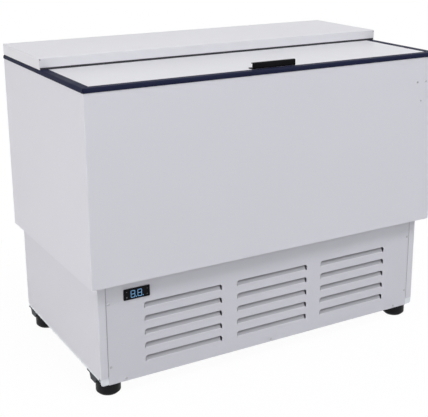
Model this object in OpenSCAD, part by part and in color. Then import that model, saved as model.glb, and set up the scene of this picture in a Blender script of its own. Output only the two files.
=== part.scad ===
// Chest refrigerator with a sliding lid: an insulated tank on a louvred machine base.
// Origin: middle of the footprint, on the floor. X runs to the right, Y to the back, Z up.
// The front of the cabinet faces -Y. All sizes are in millimetres.

/* [Tank] */
// Width of the insulated tank
body_w = 1150; // [1000:10:1300]
// Depth of the insulated tank
body_d = 628; // [600:2:720]
// Height of the rim above the floor
rim_h = 872; // [830:2:920]
// Height of the tank's underside above the floor
tank_z = 339; // [330:1:370]
// Thickness of the insulated walls and floor, with both skins
wall_t = 45; // [40:1:60]
// Thickness of the painted steel sheets
sheet_t = 1.2; // [0.8:0.1:2]
// Thickness of the liner sheet
liner_t = 0.8; // [0.6:0.1:1.5]
// Outside bend radius of the tank's upright front corners
bend_r = 3; // [2.5:0.5:8]
// Radius of the liner's upright corners
liner_r = 2; // [0.5:0.5:30]

/* [Rim collar] */
// Height of the collar seen from outside
collar_h = 12; // [8:1:20]
// Width of the collar's top face, from the tank's outer face
collar_w = 25; // [20:1:34]
// How far the collar stands proud of the tank
collar_proud = 1.5; // [1.5:0.5:4]
// Radius of the collar's outer top edge
collar_r = 4; // [2:0.5:6]
// Thickness of the collar's inner leg
collar_leg_t = 8; // [4:1:12]

/* [Hood] */
// Distance from the tank's front to the hood's front edge
hood_set_back = 309.5; // [290:0.5:340]
// Height of the hood above the rim
hood_h = 32; // [28:1:60]
// Gap under the hood's front edge that the wiper fills
hood_lip_gap = 5; // [4:0.5:10]
// Depth of the flange folded in along the hood's front edge
hood_hem = 10; // [8:1:16]
// Thickness of the wiper strip, front to back
wiper_t = 6; // [3:0.5:9]
// Height of the rib on the rear collar that the hood is screwed to
hood_rib_h = 18; // [12:1:24]
// Thickness of that rib
hood_rib_t = 6; // [4:1:8]
// Clear height between the rim and the hood's lining
hood_pan_gap = 3; // [2:0.5:8]

/* [Lid] */
// Overall thickness of the lid
lid_t = 21; // [16:1:28]
// How far the lid's top lies below the rim
lid_drop = 1; // [0:0.5:4]
// Gap between the lid's edges and the collar
lid_gap = 1; // [0.5:0.5:3]
// How far the closed lid reaches under the hood
lid_lap = 22; // [14:1:28]
// Thickness of the lid's skin and lining sheets
lid_sheet_t = 1; // [0.8:0.1:1.6]
// Thickness of the nylon glides under the lid
glide_t = 2; // [1:0.5:4]
// Width of each glide
glide_w = 14; // [8:1:17]
// Thickness of the runners that the glides ride on
runner_t = 3; // [2:0.5:6]
// Running gap between sliding parts
slide_gap = 0.3; // [0.2:0.1:0.6]

/* [Lid handle] */
// Length of the handle
handle_l = 141; // [80:1:260]
// Height of the handle above the lid
handle_h = 18; // [14:1:24]
// Depth of the handle's screwed foot
handle_foot = 22; // [18:1:30]
// Depth of the handle's top lip
handle_lip = 8; // [4:1:14]
// Thickness of the handle's wall
handle_t = 2.5; // [2:0.5:4]
// Distance from the lid's front edge to the handle
handle_set_back = 1.5; // [1:0.5:6]

/* [Bottle opener fixing] */
// Spacing of the upper two inserts
opener_pitch = 33; // [25:1:50]
// Drop from the upper inserts to the lower one
opener_drop = 59; // [40:1:80]
// Distance from the tank's right face to the middle of the pattern
opener_inset = 58.5; // [50:0.5:90]
// Distance from the rim down to the upper inserts
opener_top = 86; // [60:1:120]
// Radius of the thread core in each insert
insert_bore_r = 2.1; // [1.6:0.1:2.6]
// Outside radius of each insert
insert_r = 3.5; // [3:0.1:5]
// Length of each insert
insert_l = 12; // [8:1:18]

/* [Tank fittings] */
// Radius of the drain pipe
drain_r = 12; // [8:1:16]
// Bore radius of the drain pipe
drain_bore_r = 9; // [5:1:13]
// Wire radius of the floor rack's bearers
rack_bearer_r = 3; // [2:0.5:4]
// Wire radius of the floor rack's top wires
rack_wire_r = 1.5; // [1:0.5:2.5]
// Spacing of the floor rack's top wires
rack_pitch = 40; // [30:2:60]
// Width of the evaporator cover
evap_w = 860; // [760:10:880]
// Depth of the evaporator cover, from the liner's rear wall
evap_d = 105; // [100:1:130]
// Height of the evaporator cover
evap_h = 200; // [190:5:230]
// Distance from the liner flange down to the evaporator cover
evap_drop = 44; // [20:2:60]

/* [Machine base] */
// Inset of the base from each side of the tank
base_inset_side = 26; // [10:1:40]
// Inset of the base from the tank's front
base_inset_front = 30; // [10:1:45]
// Height of the side panels' lower edge above the floor
side_panel_z = 60; // [53:1:60]
// Height of the front panel's lower edge above the floor
front_panel_z = 39; // [37:1:44]
// Width of the side panels' front flanges
flange_w = 23.5; // [18:0.5:30]
// Gap between the front panel and the flanges
panel_gap = 1; // [0.5:0.5:2]
// Height of the base pan's underside above the floor
pan_z = 52; // [51:0.5:54]
// Thickness of the base pan
pan_t = 1.5; // [1:0.1:2]
// Height of the base pan's upturned edges
pan_edge_h = 25; // [15:1:25]
// Radius of the lower corners of the base pan's front lip
pan_lip_r = 8; // [4:1:10]
// Depth of the recess in the rear panel
rear_recess = 15; // [15:1:24]

/* [Louvres] */
// Width of each louvre
louvre_w = 245; // [200:5:260]
// Height of each louvre
louvre_h = 17; // [12:1:24]
// Spacing of the louvre groups
louvre_pitch_x = 295.5; // [280:0.5:310]
// Spacing of the louvre rows
louvre_pitch_z = 40; // [32:1:44]
// Number of rows
louvre_rows = 5; // [2:1:5]
// Height of the top row's upper edge above the floor
louvre_top_z = 260.5; // [250:0.5:265]
// Shift of the louvre field to the right of the middle
louvre_shift = 5; // [0:1:10]
// Angle of the vanes from the panel's plane
vane_angle = 32; // [20:1:45]

/* [Feet] */
// Radius of each foot
foot_r = 35; // [28:1:37]
// Height of each foot
foot_h = 46; // [40:1:47]
// Size of the chamfer round the foot's lower edge
foot_chamfer = 7; // [3:1:10]
// Distance from the tank's side to each foot's axis
foot_inset_side = 64.5; // [60:0.5:80]
// Distance from the tank's front to the front feet's axis
foot_inset_front = 71; // [66:1:90]
// Distance from the tank's back to the rear feet's axis
foot_inset_rear = 63; // [60:1:90]
// Radius of the foot's threaded stud
stud_r = 6; // [4:0.5:8]
// Thickness of the foot brackets
bracket_t = 3; // [2:0.5:4]

/* [Thermostat] */
// Width of the thermostat's bezel
bezel_w = 77.5; // [70:0.5:90]
// Height of the thermostat's bezel
bezel_h = 31.5; // [29:0.5:34]
// Thickness of the bezel
bezel_t = 3; // [2.6:0.2:5]
// Distance from the tank's left face to the bezel
bezel_inset = 101.5; // [90:0.5:120]
// Distance from the tank's underside down to the bezel
bezel_drop = 29; // [26:0.5:34]
// Width of each key
key_w = 7; // [5:0.5:9]
// Height of each key
key_h = 3.6; // [3:0.2:5]
// Travel of each key
key_travel = 0.6; // [0.3:0.1:0.8]

/* [Cooling unit] */
// Radius of the compressor's shell
comp_r = 80; // [60:1:85]
// Height of the compressor's shell
comp_h = 175; // [150:1:185]
// Width of the condenser coil
cond_w = 340; // [300:5:360]
// Height of the condenser coil
cond_h = 236; // [228:2:240]
// Depth of the condenser coil
cond_d = 50; // [40:1:60]
// Radius of the condenser fan
cond_fan_r = 105; // [90:1:106]
// Radius of the evaporator fan
evap_fan_r = 70; // [60:1:76]
// Radius of both fan motors' shafts
shaft_r = 3; // [2:0.5:4]
// Radial clearance of running shafts and studs
run_fit = 0.05; // [0.02:0.01:0.1]

/* [Hidden] */
$fn = 48;

// A hair that carries a cutter past the face it cuts
eps = 1;
half_w = body_w / 2;
front_y = -body_d / 2;
rear_y = body_d / 2;
collar_z = rim_h - collar_h;

// The lid's stack, from the top down
lid_top = rim_h - lid_drop;
lid_under = lid_top - lid_t;
runner_top = lid_under - glide_t - slide_gap;
ledge_z = runner_top - runner_t;
lid_half_w = half_w - collar_w - lid_gap;
lid_y0 = front_y + collar_w + lid_gap;
hood_y0 = front_y + hood_set_back;
lid_y1 = hood_y0 + lid_lap;
handle_y0 = lid_y0 + handle_set_back;
handle_screw_l = 10;
handle_screw_inset = 16;
handle_screw_x = handle_l / 2 - handle_screw_inset;
handle_screw_y = handle_y0 + (handle_lip + handle_foot) / 2;
glide_inset = 2;
glide_front = 20;
glide_rear = 5;
seal_set_back = 2;
seal_w = 12;
seal_end = 30;

// The hood
hood_top = rim_h + hood_h;
hood_lip_z = rim_h + hood_lip_gap;
hood_fill_y0 = hood_y0 + sheet_t + hood_hem;
hood_fill_y1 = rear_y - sheet_t - hood_rib_t;
hood_screw_z = rim_h + hood_rib_h / 2;
hood_screw_r = 2;
hood_screw_inset = 144;
hood_screw_x = [-half_w + hood_screw_inset, 0, half_w - hood_screw_inset];

// The inside of the liner
liner_x = half_w - wall_t;
liner_y0 = front_y + wall_t;
liner_y1 = rear_y - wall_t;
liner_z = tank_z + wall_t;

// The evaporator, hung on the liner's rear wall
evap_top = ledge_z - evap_drop;
evap_z = evap_top - evap_h;
evap_y0 = liner_y1 - evap_d;
evap_sheet_t = 1;
evap_end_gap = 60;
evap_fan_x = -evap_w / 2 + evap_fan_r + evap_end_gap;
evap_fan_z = evap_z + evap_h / 2;
evap_blade_y0 = evap_y0 + 6;
evap_blade_d = 22;
evap_blade_y1 = evap_blade_y0 + evap_blade_d;
blade_gap = 3;
evap_motor_y0 = evap_blade_y1 + blade_gap;
evap_motor_r = 26;
evap_motor_l = 40;
evap_coil_x0 = evap_fan_x + evap_fan_r + evap_end_gap;
evap_coil_x1 = evap_w / 2 - 40;
evap_coil_d = 60;
evap_air_gap = 17;
evap_coil_h = evap_h - 2 * evap_air_gap;
evap_coil_y1 = liner_y1 - 12;
evap_coil_z = evap_z + evap_air_gap;
evap_passes = 6;

// The base
base_x = half_w - base_inset_side;
base_y0 = front_y + base_inset_front;
base_y1 = rear_y;
pan_top = pan_z + pan_t;
seam_x = base_x - flange_w;
strap_w = 16;
strap_gap = 0.1;
panel_x = seam_x - panel_gap;
panel_top = tank_z - sheet_t;
return_d = 10;
screw_r = 2;
screw_head_r = 3.6;
screw_head_t = 1.4;
screw_inset = 7;
screw_low_z = 92;
screw_high_z = 277;
screw_foot_z = (front_panel_z + pan_z) / 2 + 2;
screw_foot_inset = 51.5;
screw_foot_x = panel_x - screw_foot_inset;

// The feet
foot_x = half_w - foot_inset_side;
foot_y_front = front_y + foot_inset_front;
foot_y_rear = rear_y - foot_inset_rear;
FEET = [[-1, foot_y_front], [1, foot_y_front], [-1, foot_y_rear], [1, foot_y_rear]];
bracket_top = pan_z;
bracket_z = bracket_top - bracket_t;
bracket_front = 24;
bracket_back = 58;
bracket_skirt = 17;
bracket_side_gap = 0.5;
bolt_back = 49;
bolt_head_r = 6;
bolt_head_h = 7;

// The thermostat
bezel_x0 = -half_w + bezel_inset;
bezel_z1 = tank_z - bezel_drop;
bezel_x = bezel_x0 + bezel_w / 2;
bezel_z = bezel_z1 - bezel_h / 2;
case_w = bezel_w - 6.5;
case_h = bezel_h - 3.5;
case_l = 58;
window_w = 41;
window_h = 23;
key_dx = bezel_w / 2 - 8.5;
key_dz = bezel_h * 0.25;
key_clear = 0.2;
key_proud = 0.4;

// The cooling unit on the base pan
cond_inset = 349;
cond_x = -base_x + cond_inset;
cond_y0 = base_y0 + 32;
cond_z = pan_top + 6;
cond_passes = 8;
fan_x = cond_x;
fan_z = cond_z + cond_h / 2;
shroud_d = 46;
shroud_t = 1.2;
shroud_y0 = cond_y0 + cond_d;
shroud_y1 = shroud_y0 + shroud_d;
cond_blade_d = 30;
cond_blade_y0 = shroud_y1 - 24;
cond_blade_y1 = cond_blade_y0 + cond_blade_d;
cond_motor_y0 = cond_blade_y1 + blade_gap;
cond_motor_r = 38;
cond_motor_l = 62;
comp_inset_side = 259;
comp_inset_rear = 194;
comp_x = base_x - comp_inset_side;
comp_y = rear_y - comp_inset_rear;
grommet_r = 12;
grommet_h = 14;
comp_plate_t = 4;
comp_plate_z = pan_top + grommet_h;
comp_z = comp_plate_z + comp_plate_t;
comp_foot_x = 78;
comp_foot_y = 74;
stub_l = 24;
stub_reach = comp_r * 0.65 + stub_l / sqrt(2);
stub_z = comp_z + comp_h * 0.6;
tube_r = 4;
tube_elbow_r = 12;
coil_end = 4;
bend_socket = 2;
bend_wall = 0.5;
capillary_r = 2;
capillary_elbow_r = 8;
capillary_x = evap_coil_x0 - 16;
suction_x = capillary_x - 16;
rise_y = evap_coil_y1 - evap_coil_d / 2;
drier_r = 12;
drier_l = 90;
drier_x = cond_x - cond_w / 2 - 50;
drier_y = cond_y0 + cond_d + 15;
drier_z = pan_top + 56;
drier_stub = 10;
tray_inset_side = 219;
tray_inset_rear = 184;
tray_x = -base_x + tray_inset_side;
tray_y = rear_y - tray_inset_rear;
tray_w = 220;
tray_d = 150;
tray_h = 45;
drain_x = tray_x;
drain_y = tray_y;
drain_end_z = pan_top + 12;
drain_flange_t = 1.5;
drain_flange_w = 8;
gland_inset = 129;
gland_x = base_x - gland_inset;
gland_z = 110;
gland_bore_r = 5;
gland_r = 11;
gland_flange_r = 15;
gland_l = 24;
gland_flange_l = 5;

module box(x0, x1, y0, y1, z0, z1) {
    translate([x0, y0, z0])
        cube([x1 - x0, y1 - y0, z1 - z0]);
}

module y_rod(x, y0, y1, z, r) {
    translate([x, y1, z])
        rotate([90, 0, 0])
            cylinder(r = r, h = y1 - y0);
}

module x_rod(x0, x1, y, z, r) {
    translate([x0, y, z])
        rotate([0, 90, 0])
            cylinder(r = r, h = x1 - x0);
}

module z_rod(x, y, z0, z1, r) {
    translate([x, y, z0])
        cylinder(r = r, h = z1 - z0);
}

// A rectangle with its two front corners rounded
module front_rounded(x, y0, y1, r) {
    translate([-x, y0 + r])
        square([2 * x, y1 - y0 - r]);
    translate([-x + r, y0])
        square([2 * (x - r), r + eps / 2]);
    for (side = [-1, 1])
        translate([side * (x - r), y0 + r])
            circle(r = r);
}

// A rectangle with four rounded corners
module rounded(x, y0, y1, r) {
    translate([-x + r, y0])
        square([2 * (x - r), y1 - y0]);
    translate([-x, y0 + r])
        square([2 * x, y1 - y0 - 2 * r]);
    for (side = [-1, 1], y = [y0 + r, y1 - r])
        translate([side * (x - r), y])
            circle(r = r);
}

// A pipe along a list of points, with a brazed elbow at each bend
module pipe(points, r, elbow_r) {
    last = len(points) - 1;
    runs = [for (i = [0 : last - 1]) points[i + 1] - points[i]];
    along = [for (run = runs) run / norm(run)];
    turns = [for (i = [0 : last]) i == 0 || i == last ? 0 : acos(along[i - 1] * along[i])];
    gaps = [for (turn = turns) turn == 0 ? 0 : elbow_r * tan(turn / 2) - bend_socket];
    for (i = [0 : last - 1])
        translate(points[i] + along[i] * gaps[i])
            rotate([0, acos(along[i][2]), atan2(along[i][1], along[i][0])])
                cylinder(r = r, h = norm(runs[i]) - gaps[i] - gaps[i + 1]);
    for (i = [1 : last - 1]) {
        ahead = along[i - 1];
        aside = along[i] - (along[i] * ahead) * ahead;
        inward = aside / norm(aside);
        up = cross(ahead, inward);
        centre = points[i] - ahead * elbow_r * tan(turns[i] / 2) + inward * elbow_r;
        multmatrix([
            [-inward[0], ahead[0], up[0], centre[0]],
            [-inward[1], ahead[1], up[1], centre[1]],
            [-inward[2], ahead[2], up[2], centre[2]]
        ])
            rotate_extrude(angle = turns[i])
                translate([elbow_r, 0])
                    circle(r = r + bend_wall);
    }
}

// Where the three inserts of the bottle opener sit on the tank's front
module at_openers() {
    x = half_w - opener_inset;
    z = rim_h - opener_top;
    for (p = [[x - opener_pitch / 2, z], [x + opener_pitch / 2, z], [x, z - opener_drop]])
        translate([p[0], front_y, p[1]])
            rotate([-90, 0, 0])
                children();
}

// The three sheets round the tank's front and sides, folded from one piece
module tank_wrap() {
    color("gainsboro")
        difference() {
            translate([0, 0, tank_z])
                linear_extrude(collar_z - tank_z)
                    difference() {
                        front_rounded(half_w, front_y, rear_y - sheet_t, bend_r);
                        front_rounded(half_w - sheet_t, front_y + sheet_t, rear_y, bend_r - sheet_t);
                    }
            at_openers()
                translate([0, 0, -eps])
                    cylinder(r = insert_r + run_fit, h = sheet_t + 2 * eps);
        }
}

module tank_back_panel() {
    color("gainsboro")
        box(-half_w, half_w, rear_y - sheet_t, rear_y, tank_z, collar_z);
}

// Holes for the drain pipe and the two refrigerant tubes, from one height to another
module floor_holes(z0, z1) {
    z_rod(drain_x, drain_y, z0, z1, drain_r + run_fit);
    z_rod(suction_x, rise_y, z0, z1, tube_r + slide_gap);
    z_rod(capillary_x, rise_y, z0, z1, capillary_r + slide_gap);
}

module tank_floor_sheet() {
    color("silver")
        difference() {
            translate([0, 0, tank_z])
                linear_extrude(sheet_t)
                    front_rounded(half_w - sheet_t, front_y + sheet_t, rear_y - sheet_t, bend_r - sheet_t);
            floor_holes(tank_z - eps, tank_z + sheet_t + eps);
        }
}

// Rigid foam that fills the walls and floor between the two skins
module tank_foam() {
    color("khaki")
        difference() {
            translate([0, 0, tank_z + sheet_t])
                linear_extrude(collar_z - tank_z - sheet_t)
                    front_rounded(half_w - sheet_t, front_y + sheet_t, rear_y - sheet_t, bend_r - sheet_t);
            translate([0, 0, liner_z - liner_t])
                linear_extrude(rim_h)
                    rounded(liner_x + liner_t, liner_y0 - liner_t, liner_y1 + liner_t, liner_r + liner_t);
            flange = collar_w - collar_leg_t;
            box(
                -half_w + flange, half_w - flange,
                front_y + flange, rear_y - flange,
                ledge_z - liner_t, rim_h
            );
            floor_holes(tank_z, liner_z);
            at_openers()
                cylinder(r = insert_r + run_fit, h = insert_l + eps);
        }
}

// The tub that holds the bottles, with a flange under the runners
module tank_liner() {
    flange = collar_w - collar_leg_t;
    color("whitesmoke")
        difference() {
            union() {
                translate([0, 0, liner_z - liner_t])
                    linear_extrude(ledge_z - liner_z + liner_t)
                        rounded(liner_x + liner_t, liner_y0 - liner_t, liner_y1 + liner_t, liner_r + liner_t);
                box(
                    -half_w + flange, half_w - flange,
                    front_y + flange, rear_y - flange,
                    ledge_z - liner_t, ledge_z
                );
            }
            translate([0, 0, liner_z])
                linear_extrude(rim_h)
                    rounded(liner_x, liner_y0, liner_y1, liner_r);
            floor_holes(tank_z, liner_z + eps);
        }
}

// Section of the collar: a capped top with a leg down the inner side, u inward and z up
module collar_section() {
    translate([-collar_proud, collar_z])
        difference() {
            square([collar_w + collar_proud, collar_h]);
            translate([-eps, collar_h - collar_r])
                square([collar_r + eps, collar_r + eps]);
        }
    translate([-collar_proud + collar_r, rim_h - collar_r])
        circle(r = collar_r);
    translate([collar_w - collar_leg_t, ledge_z])
        square([collar_leg_t, rim_h - ledge_z - collar_h / 2]);
}

// One side of the collar, mitred at both ends, lying along Y with its outer face at x = 0
module collar_bar(side) {
    reach = side / 2 + collar_proud;
    intersection() {
        translate([0, reach, 0])
            rotate([90, 0, 0])
                linear_extrude(2 * reach)
                    collar_section();
        linear_extrude(rim_h + eps)
            polygon([
                [-collar_proud, -reach],
                [collar_w, -side / 2 + collar_w],
                [collar_w, side / 2 - collar_w],
                [-collar_proud, reach]
            ]);
    }
}

module collar_front() {
    color("midnightblue")
        translate([0, front_y, 0])
            rotate([0, 0, 90])
                collar_bar(body_w);
}

module collar_left() {
    color("midnightblue")
        translate([-half_w, 0, 0])
            collar_bar(body_d);
}

module collar_right() {
    color("midnightblue")
        translate([half_w, 0, 0])
            rotate([0, 0, 180])
                collar_bar(body_d);
}

// The rear collar also has the rib that the hood is screwed to
module collar_rear() {
    color("midnightblue")
        difference() {
            union() {
                translate([0, rear_y, 0])
                    rotate([0, 0, -90])
                        collar_bar(body_w);
                box(
                    -half_w + collar_w, half_w - collar_w,
                    hood_fill_y1, rear_y - sheet_t,
                    rim_h - eps, rim_h + hood_rib_h
                );
            }
            for (x = hood_screw_x)
                y_rod(x, hood_fill_y1 - eps, rear_y, hood_screw_z, hood_screw_r + run_fit);
        }
}

// A runner on the liner's flange, along one side of the mouth
module lid_runner(side) {
    color("white")
        scale([side, 1, 1])
            box(liner_x, half_w - collar_w, front_y + collar_w, rear_y - collar_w, ledge_z, runner_top);
}

// The fixed cover over the rear half, open underneath
module hood_shell() {
    color("gainsboro")
        difference() {
            union() {
                difference() {
                    box(-half_w, half_w, hood_y0, rear_y, rim_h, hood_top);
                    box(
                        -half_w + sheet_t, half_w - sheet_t,
                        hood_y0 + sheet_t, rear_y - sheet_t,
                        rim_h - eps, hood_top - sheet_t
                    );
                    box(
                        -half_w + sheet_t, half_w - sheet_t,
                        hood_y0 - eps, hood_y0 + sheet_t + eps,
                        rim_h - eps, hood_lip_z
                    );
                }
                box(
                    -half_w + sheet_t, half_w - sheet_t,
                    hood_y0, hood_y0 + sheet_t + hood_hem,
                    hood_lip_z, hood_lip_z + sheet_t
                );
            }
            for (x = hood_screw_x)
                y_rod(x, rear_y - sheet_t - eps, rear_y + eps, hood_screw_z, hood_screw_r + run_fit);
        }
}

module hood_foam() {
    color("khaki")
        box(
            -half_w + sheet_t, half_w - sheet_t,
            hood_fill_y0, hood_fill_y1,
            rim_h + hood_pan_gap + liner_t, hood_top - sheet_t
        );
}

module hood_lining() {
    color("whitesmoke")
        box(
            -half_w + sheet_t, half_w - sheet_t,
            hood_fill_y0, hood_fill_y1,
            rim_h + hood_pan_gap, rim_h + hood_pan_gap + liner_t
        );
}

// The rubber strip that wipes the lid as it slides in
module hood_wiper() {
    color("dimgray") {
        box(
            -half_w + sheet_t, half_w - sheet_t,
            hood_y0 + eps, hood_y0 + eps + wiper_t,
            rim_h, hood_lip_z
        );
        box(
            -lid_half_w, lid_half_w,
            hood_y0 + eps, hood_y0 + eps + wiper_t,
            lid_top + slide_gap, hood_lip_z
        );
    }
}

module hood_screws() {
    color("silver")
        for (x = hood_screw_x) {
            y_rod(x, rear_y, rear_y + screw_head_t, hood_screw_z, screw_head_r);
            y_rod(x, hood_fill_y1, rear_y + screw_head_t / 2, hood_screw_z, hood_screw_r);
        }
}

// The lid's top sheet, folded down on all four sides
module lid_skin() {
    color("ghostwhite")
        difference() {
            box(-lid_half_w, lid_half_w, lid_y0, lid_y1, lid_under, lid_top);
            box(
                -lid_half_w + lid_sheet_t, lid_half_w - lid_sheet_t,
                lid_y0 + lid_sheet_t, lid_y1 - lid_sheet_t,
                lid_under - eps, lid_top - lid_sheet_t
            );
            at_handle_screws()
                translate([0, 0, -lid_sheet_t - eps])
                    cylinder(r = screw_r + run_fit, h = lid_sheet_t + 2 * eps);
        }
}

module lid_foam() {
    color("khaki")
        difference() {
            box(
                -lid_half_w + lid_sheet_t, lid_half_w - lid_sheet_t,
                lid_y0 + lid_sheet_t, lid_y1 - lid_sheet_t,
                lid_under + lid_sheet_t, lid_top - lid_sheet_t
            );
            at_handle_screws()
                translate([0, 0, -handle_screw_l - eps])
                    cylinder(r = screw_r + run_fit, h = handle_screw_l + eps);
        }
}

module lid_lining() {
    color("whitesmoke")
        box(
            -lid_half_w + lid_sheet_t, lid_half_w - lid_sheet_t,
            lid_y0 + lid_sheet_t, lid_y1 - lid_sheet_t,
            lid_under, lid_under + lid_sheet_t
        );
}

// Two nylon strips under the lid's side edges
module lid_glides() {
    color("white")
        for (side = [-1, 1])
            scale([side, 1, 1])
                box(
                    lid_half_w - glide_inset - glide_w, lid_half_w - glide_inset,
                    lid_y0 + glide_front, lid_y1 - glide_rear,
                    lid_under - glide_t, lid_under
                );
}

// The soft lip under the lid's front edge, over the liner's flange
module lid_front_seal() {
    color("dimgray")
        box(
            -lid_half_w + seal_end, lid_half_w - seal_end,
            lid_y0 + seal_set_back, lid_y0 + seal_set_back + seal_w,
            ledge_z + slide_gap, lid_under
        );
}

// The screw holes of the handle, from the lid's top
module at_handle_screws() {
    for (side = [-1, 1])
        translate([side * handle_screw_x, handle_screw_y, lid_top])
            children();
}

// A black channel, open to the rear, screwed to the lid's front edge
module lid_handle() {
    color([0.09, 0.09, 0.1])
        difference() {
            translate([-handle_l / 2, handle_y0, lid_top]) {
                cube([handle_l, handle_t, handle_h]);
                cube([handle_l, handle_foot, handle_t]);
                translate([0, 0, handle_h - handle_t])
                    cube([handle_l, handle_lip, handle_t]);
            }
            at_handle_screws()
                translate([0, 0, -eps])
                    cylinder(r = screw_r + run_fit, h = handle_t + 2 * eps);
        }
}

module handle_screws() {
    color("silver")
        at_handle_screws() {
            translate([0, 0, handle_t])
                cylinder(r = screw_head_r, h = screw_head_t);
            translate([0, 0, -handle_screw_l])
                cylinder(r = screw_r, h = handle_screw_l + handle_t + screw_head_t / 2);
        }
}

// Three threaded inserts for a bottle opener, flanged on the tank's front
module opener_inserts() {
    color("darkgray")
        at_openers()
            difference() {
                union() {
                    cylinder(r = insert_r, h = insert_l);
                    translate([0, 0, -0.8])
                        cylinder(r = insert_r + 1.5, h = 0.8);
                }
                translate([0, 0, -eps])
                    cylinder(r = insert_bore_r, h = insert_l + 2 * eps);
            }
}

// A wire grid that keeps the bottles off the liner's floor
module floor_rack() {
    margin = 14;
    rear_margin = 60;
    overhang = 20;
    end = 3;
    bearers = 4;
    x1 = liner_x - margin;
    y0 = liner_y0 + margin;
    y1 = liner_y1 - rear_margin;
    z = liner_z + rack_bearer_r;
    count = floor(2 * x1 / rack_pitch);
    bearer_step = (y1 - y0 - 2 * overhang) / (bearers - 1);
    wire_step = 2 * (x1 - end) / count;
    color("white") {
        for (i = [0 : bearers - 1])
            x_rod(-x1, x1, y0 + overhang + i * bearer_step, z, rack_bearer_r);
        for (i = [0 : count])
            y_rod(-x1 + end + i * wire_step, y0, y1, z + rack_bearer_r + rack_wire_r / 2, rack_wire_r);
    }
}

// The drain through the tank's floor, down to the tray
module drain_pipe() {
    color("white")
        difference() {
            union() {
                z_rod(drain_x, drain_y, drain_end_z, liner_z, drain_r);
                z_rod(drain_x, drain_y, liner_z, liner_z + drain_flange_t, drain_r + drain_flange_w);
            }
            z_rod(drain_x, drain_y, drain_end_z - eps, liner_z + 2 * eps, drain_bore_r);
        }
}

// A coil of finned tubes: a row of fins on straight tubes, brazed into the sockets of the
// return bends. An even number of passes brings both free ends out at the left.
module fin_coil(x0, x1, y0, depth, z0, height, fins, passes) {
    fin_t = 1;
    step = height / passes;
    y = y0 + depth / 2;
    for (i = [0 : fins - 1])
        translate([x0 + i * (x1 - x0 - fin_t) / (fins - 1), y0, z0])
            cube([fin_t, depth, height]);
    for (i = [0 : passes - 1]) {
        socket = i > 0 && i < passes - 1 ? bend_socket : 0;
        x_rod(x0 - coil_end - socket, x1 + coil_end + bend_socket, y, z0 + step * (i + 0.5), tube_r);
    }
    for (i = [0 : passes - 2])
        translate([i % 2 == 0 ? x1 + coil_end : x0 - coil_end, y, z0 + step * (i + 1)])
            rotate([90, 0, i % 2 == 0 ? 0 : 180])
                rotate([0, 0, -90])
                    rotate_extrude(angle = 180)
                        translate([step / 2, 0])
                            circle(r = tube_r + bend_wall);
}

// The mounting feet of the evaporator coil stand on the liner's rear wall
module evaporator_coil() {
    color("lightsteelblue") {
        fin_coil(
            evap_coil_x0, evap_coil_x1,
            evap_coil_y1 - evap_coil_d, evap_coil_d,
            evap_coil_z, evap_coil_h, 30, evap_passes
        );
        for (x = [evap_coil_x0, evap_coil_x1 - 3])
            box(x, x + 3, evap_coil_y1 - 5, liner_y1, evap_coil_z, evap_coil_z + evap_coil_h);
    }
}

// A folded cover over the evaporator, with a fan opening and air slots
module evaporator_cover() {
    t = evap_sheet_t;
    x = evap_w / 2;
    slot_w = 8;
    slot_pitch = 22;
    slots = floor((evap_coil_x1 - evap_coil_x0 - 20) / slot_pitch);
    color("lightgray")
        difference() {
            box(-x, x, evap_y0, liner_y1, evap_z, evap_top);
            box(-x + t, x - t, evap_y0 + t, liner_y1 + eps, evap_z + t, evap_top - t);
            y_rod(evap_fan_x, evap_y0 - eps, evap_y0 + t + eps, evap_fan_z, evap_fan_r + 4);
            for (i = [0 : slots - 1])
                translate([evap_coil_x0 + 14 + i * slot_pitch, evap_y0 - eps, evap_z + 34])
                    cube([slot_w, t + 2 * eps, evap_h - 68]);
            box(
                suction_x - 10, capillary_x + 8,
                rise_y - 10, rise_y + 10,
                evap_z - eps, evap_z + t + eps
            );
        }
}

// A fan motor on a post that stands on a plate at y1, with its shaft towards -Y
module fan_motor(x, z, y0, y1, motor_r, motor_l, shaft_l) {
    plate_t = 2;
    plate = motor_r * 1.4;
    y_rod(x, y0, y0 + motor_l, z, motor_r);
    y_rod(x, y0 - shaft_l, y0 + eps, z, shaft_r);
    y_rod(x, y0 + motor_l - eps, y1 - plate_t / 2, z, motor_r * 0.45);
    box(x - plate, x + plate, y1 - plate_t, y1, z - plate, z + plate);
}

// Pitched blades round a bored hub, from y0 to y1
module fan_blade(x, z, y0, y1, r, hub_r, blades) {
    depth = y1 - y0;
    translate([x, y1, z])
        rotate([90, 0, 0])
            difference() {
                union() {
                    cylinder(r = hub_r, h = depth);
                    intersection() {
                        difference() {
                            cylinder(r = r, h = depth);
                            translate([0, 0, -eps])
                                cylinder(r = hub_r - 2, h = depth + 2 * eps);
                        }
                        for (i = [0 : blades - 1])
                            rotate([0, 0, i * 360 / blades])
                                translate([r / 2, 0, depth / 2])
                                    rotate([28, 0, 0])
                                        cube([r, r * 1.1, 1.6], center = true);
                    }
                }
                translate([0, 0, -eps])
                    cylinder(r = shaft_r + run_fit, h = depth + 2 * eps);
            }
}

module evaporator_fan_motor() {
    color("dimgray")
        fan_motor(
            evap_fan_x, evap_fan_z, evap_motor_y0, liner_y1,
            evap_motor_r, evap_motor_l, evap_motor_y0 - evap_blade_y0
        );
}

module evaporator_fan_blade() {
    color("darkgray")
        fan_blade(evap_fan_x, evap_fan_z, evap_blade_y0, evap_blade_y1, evap_fan_r, 18, 4);
}

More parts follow.
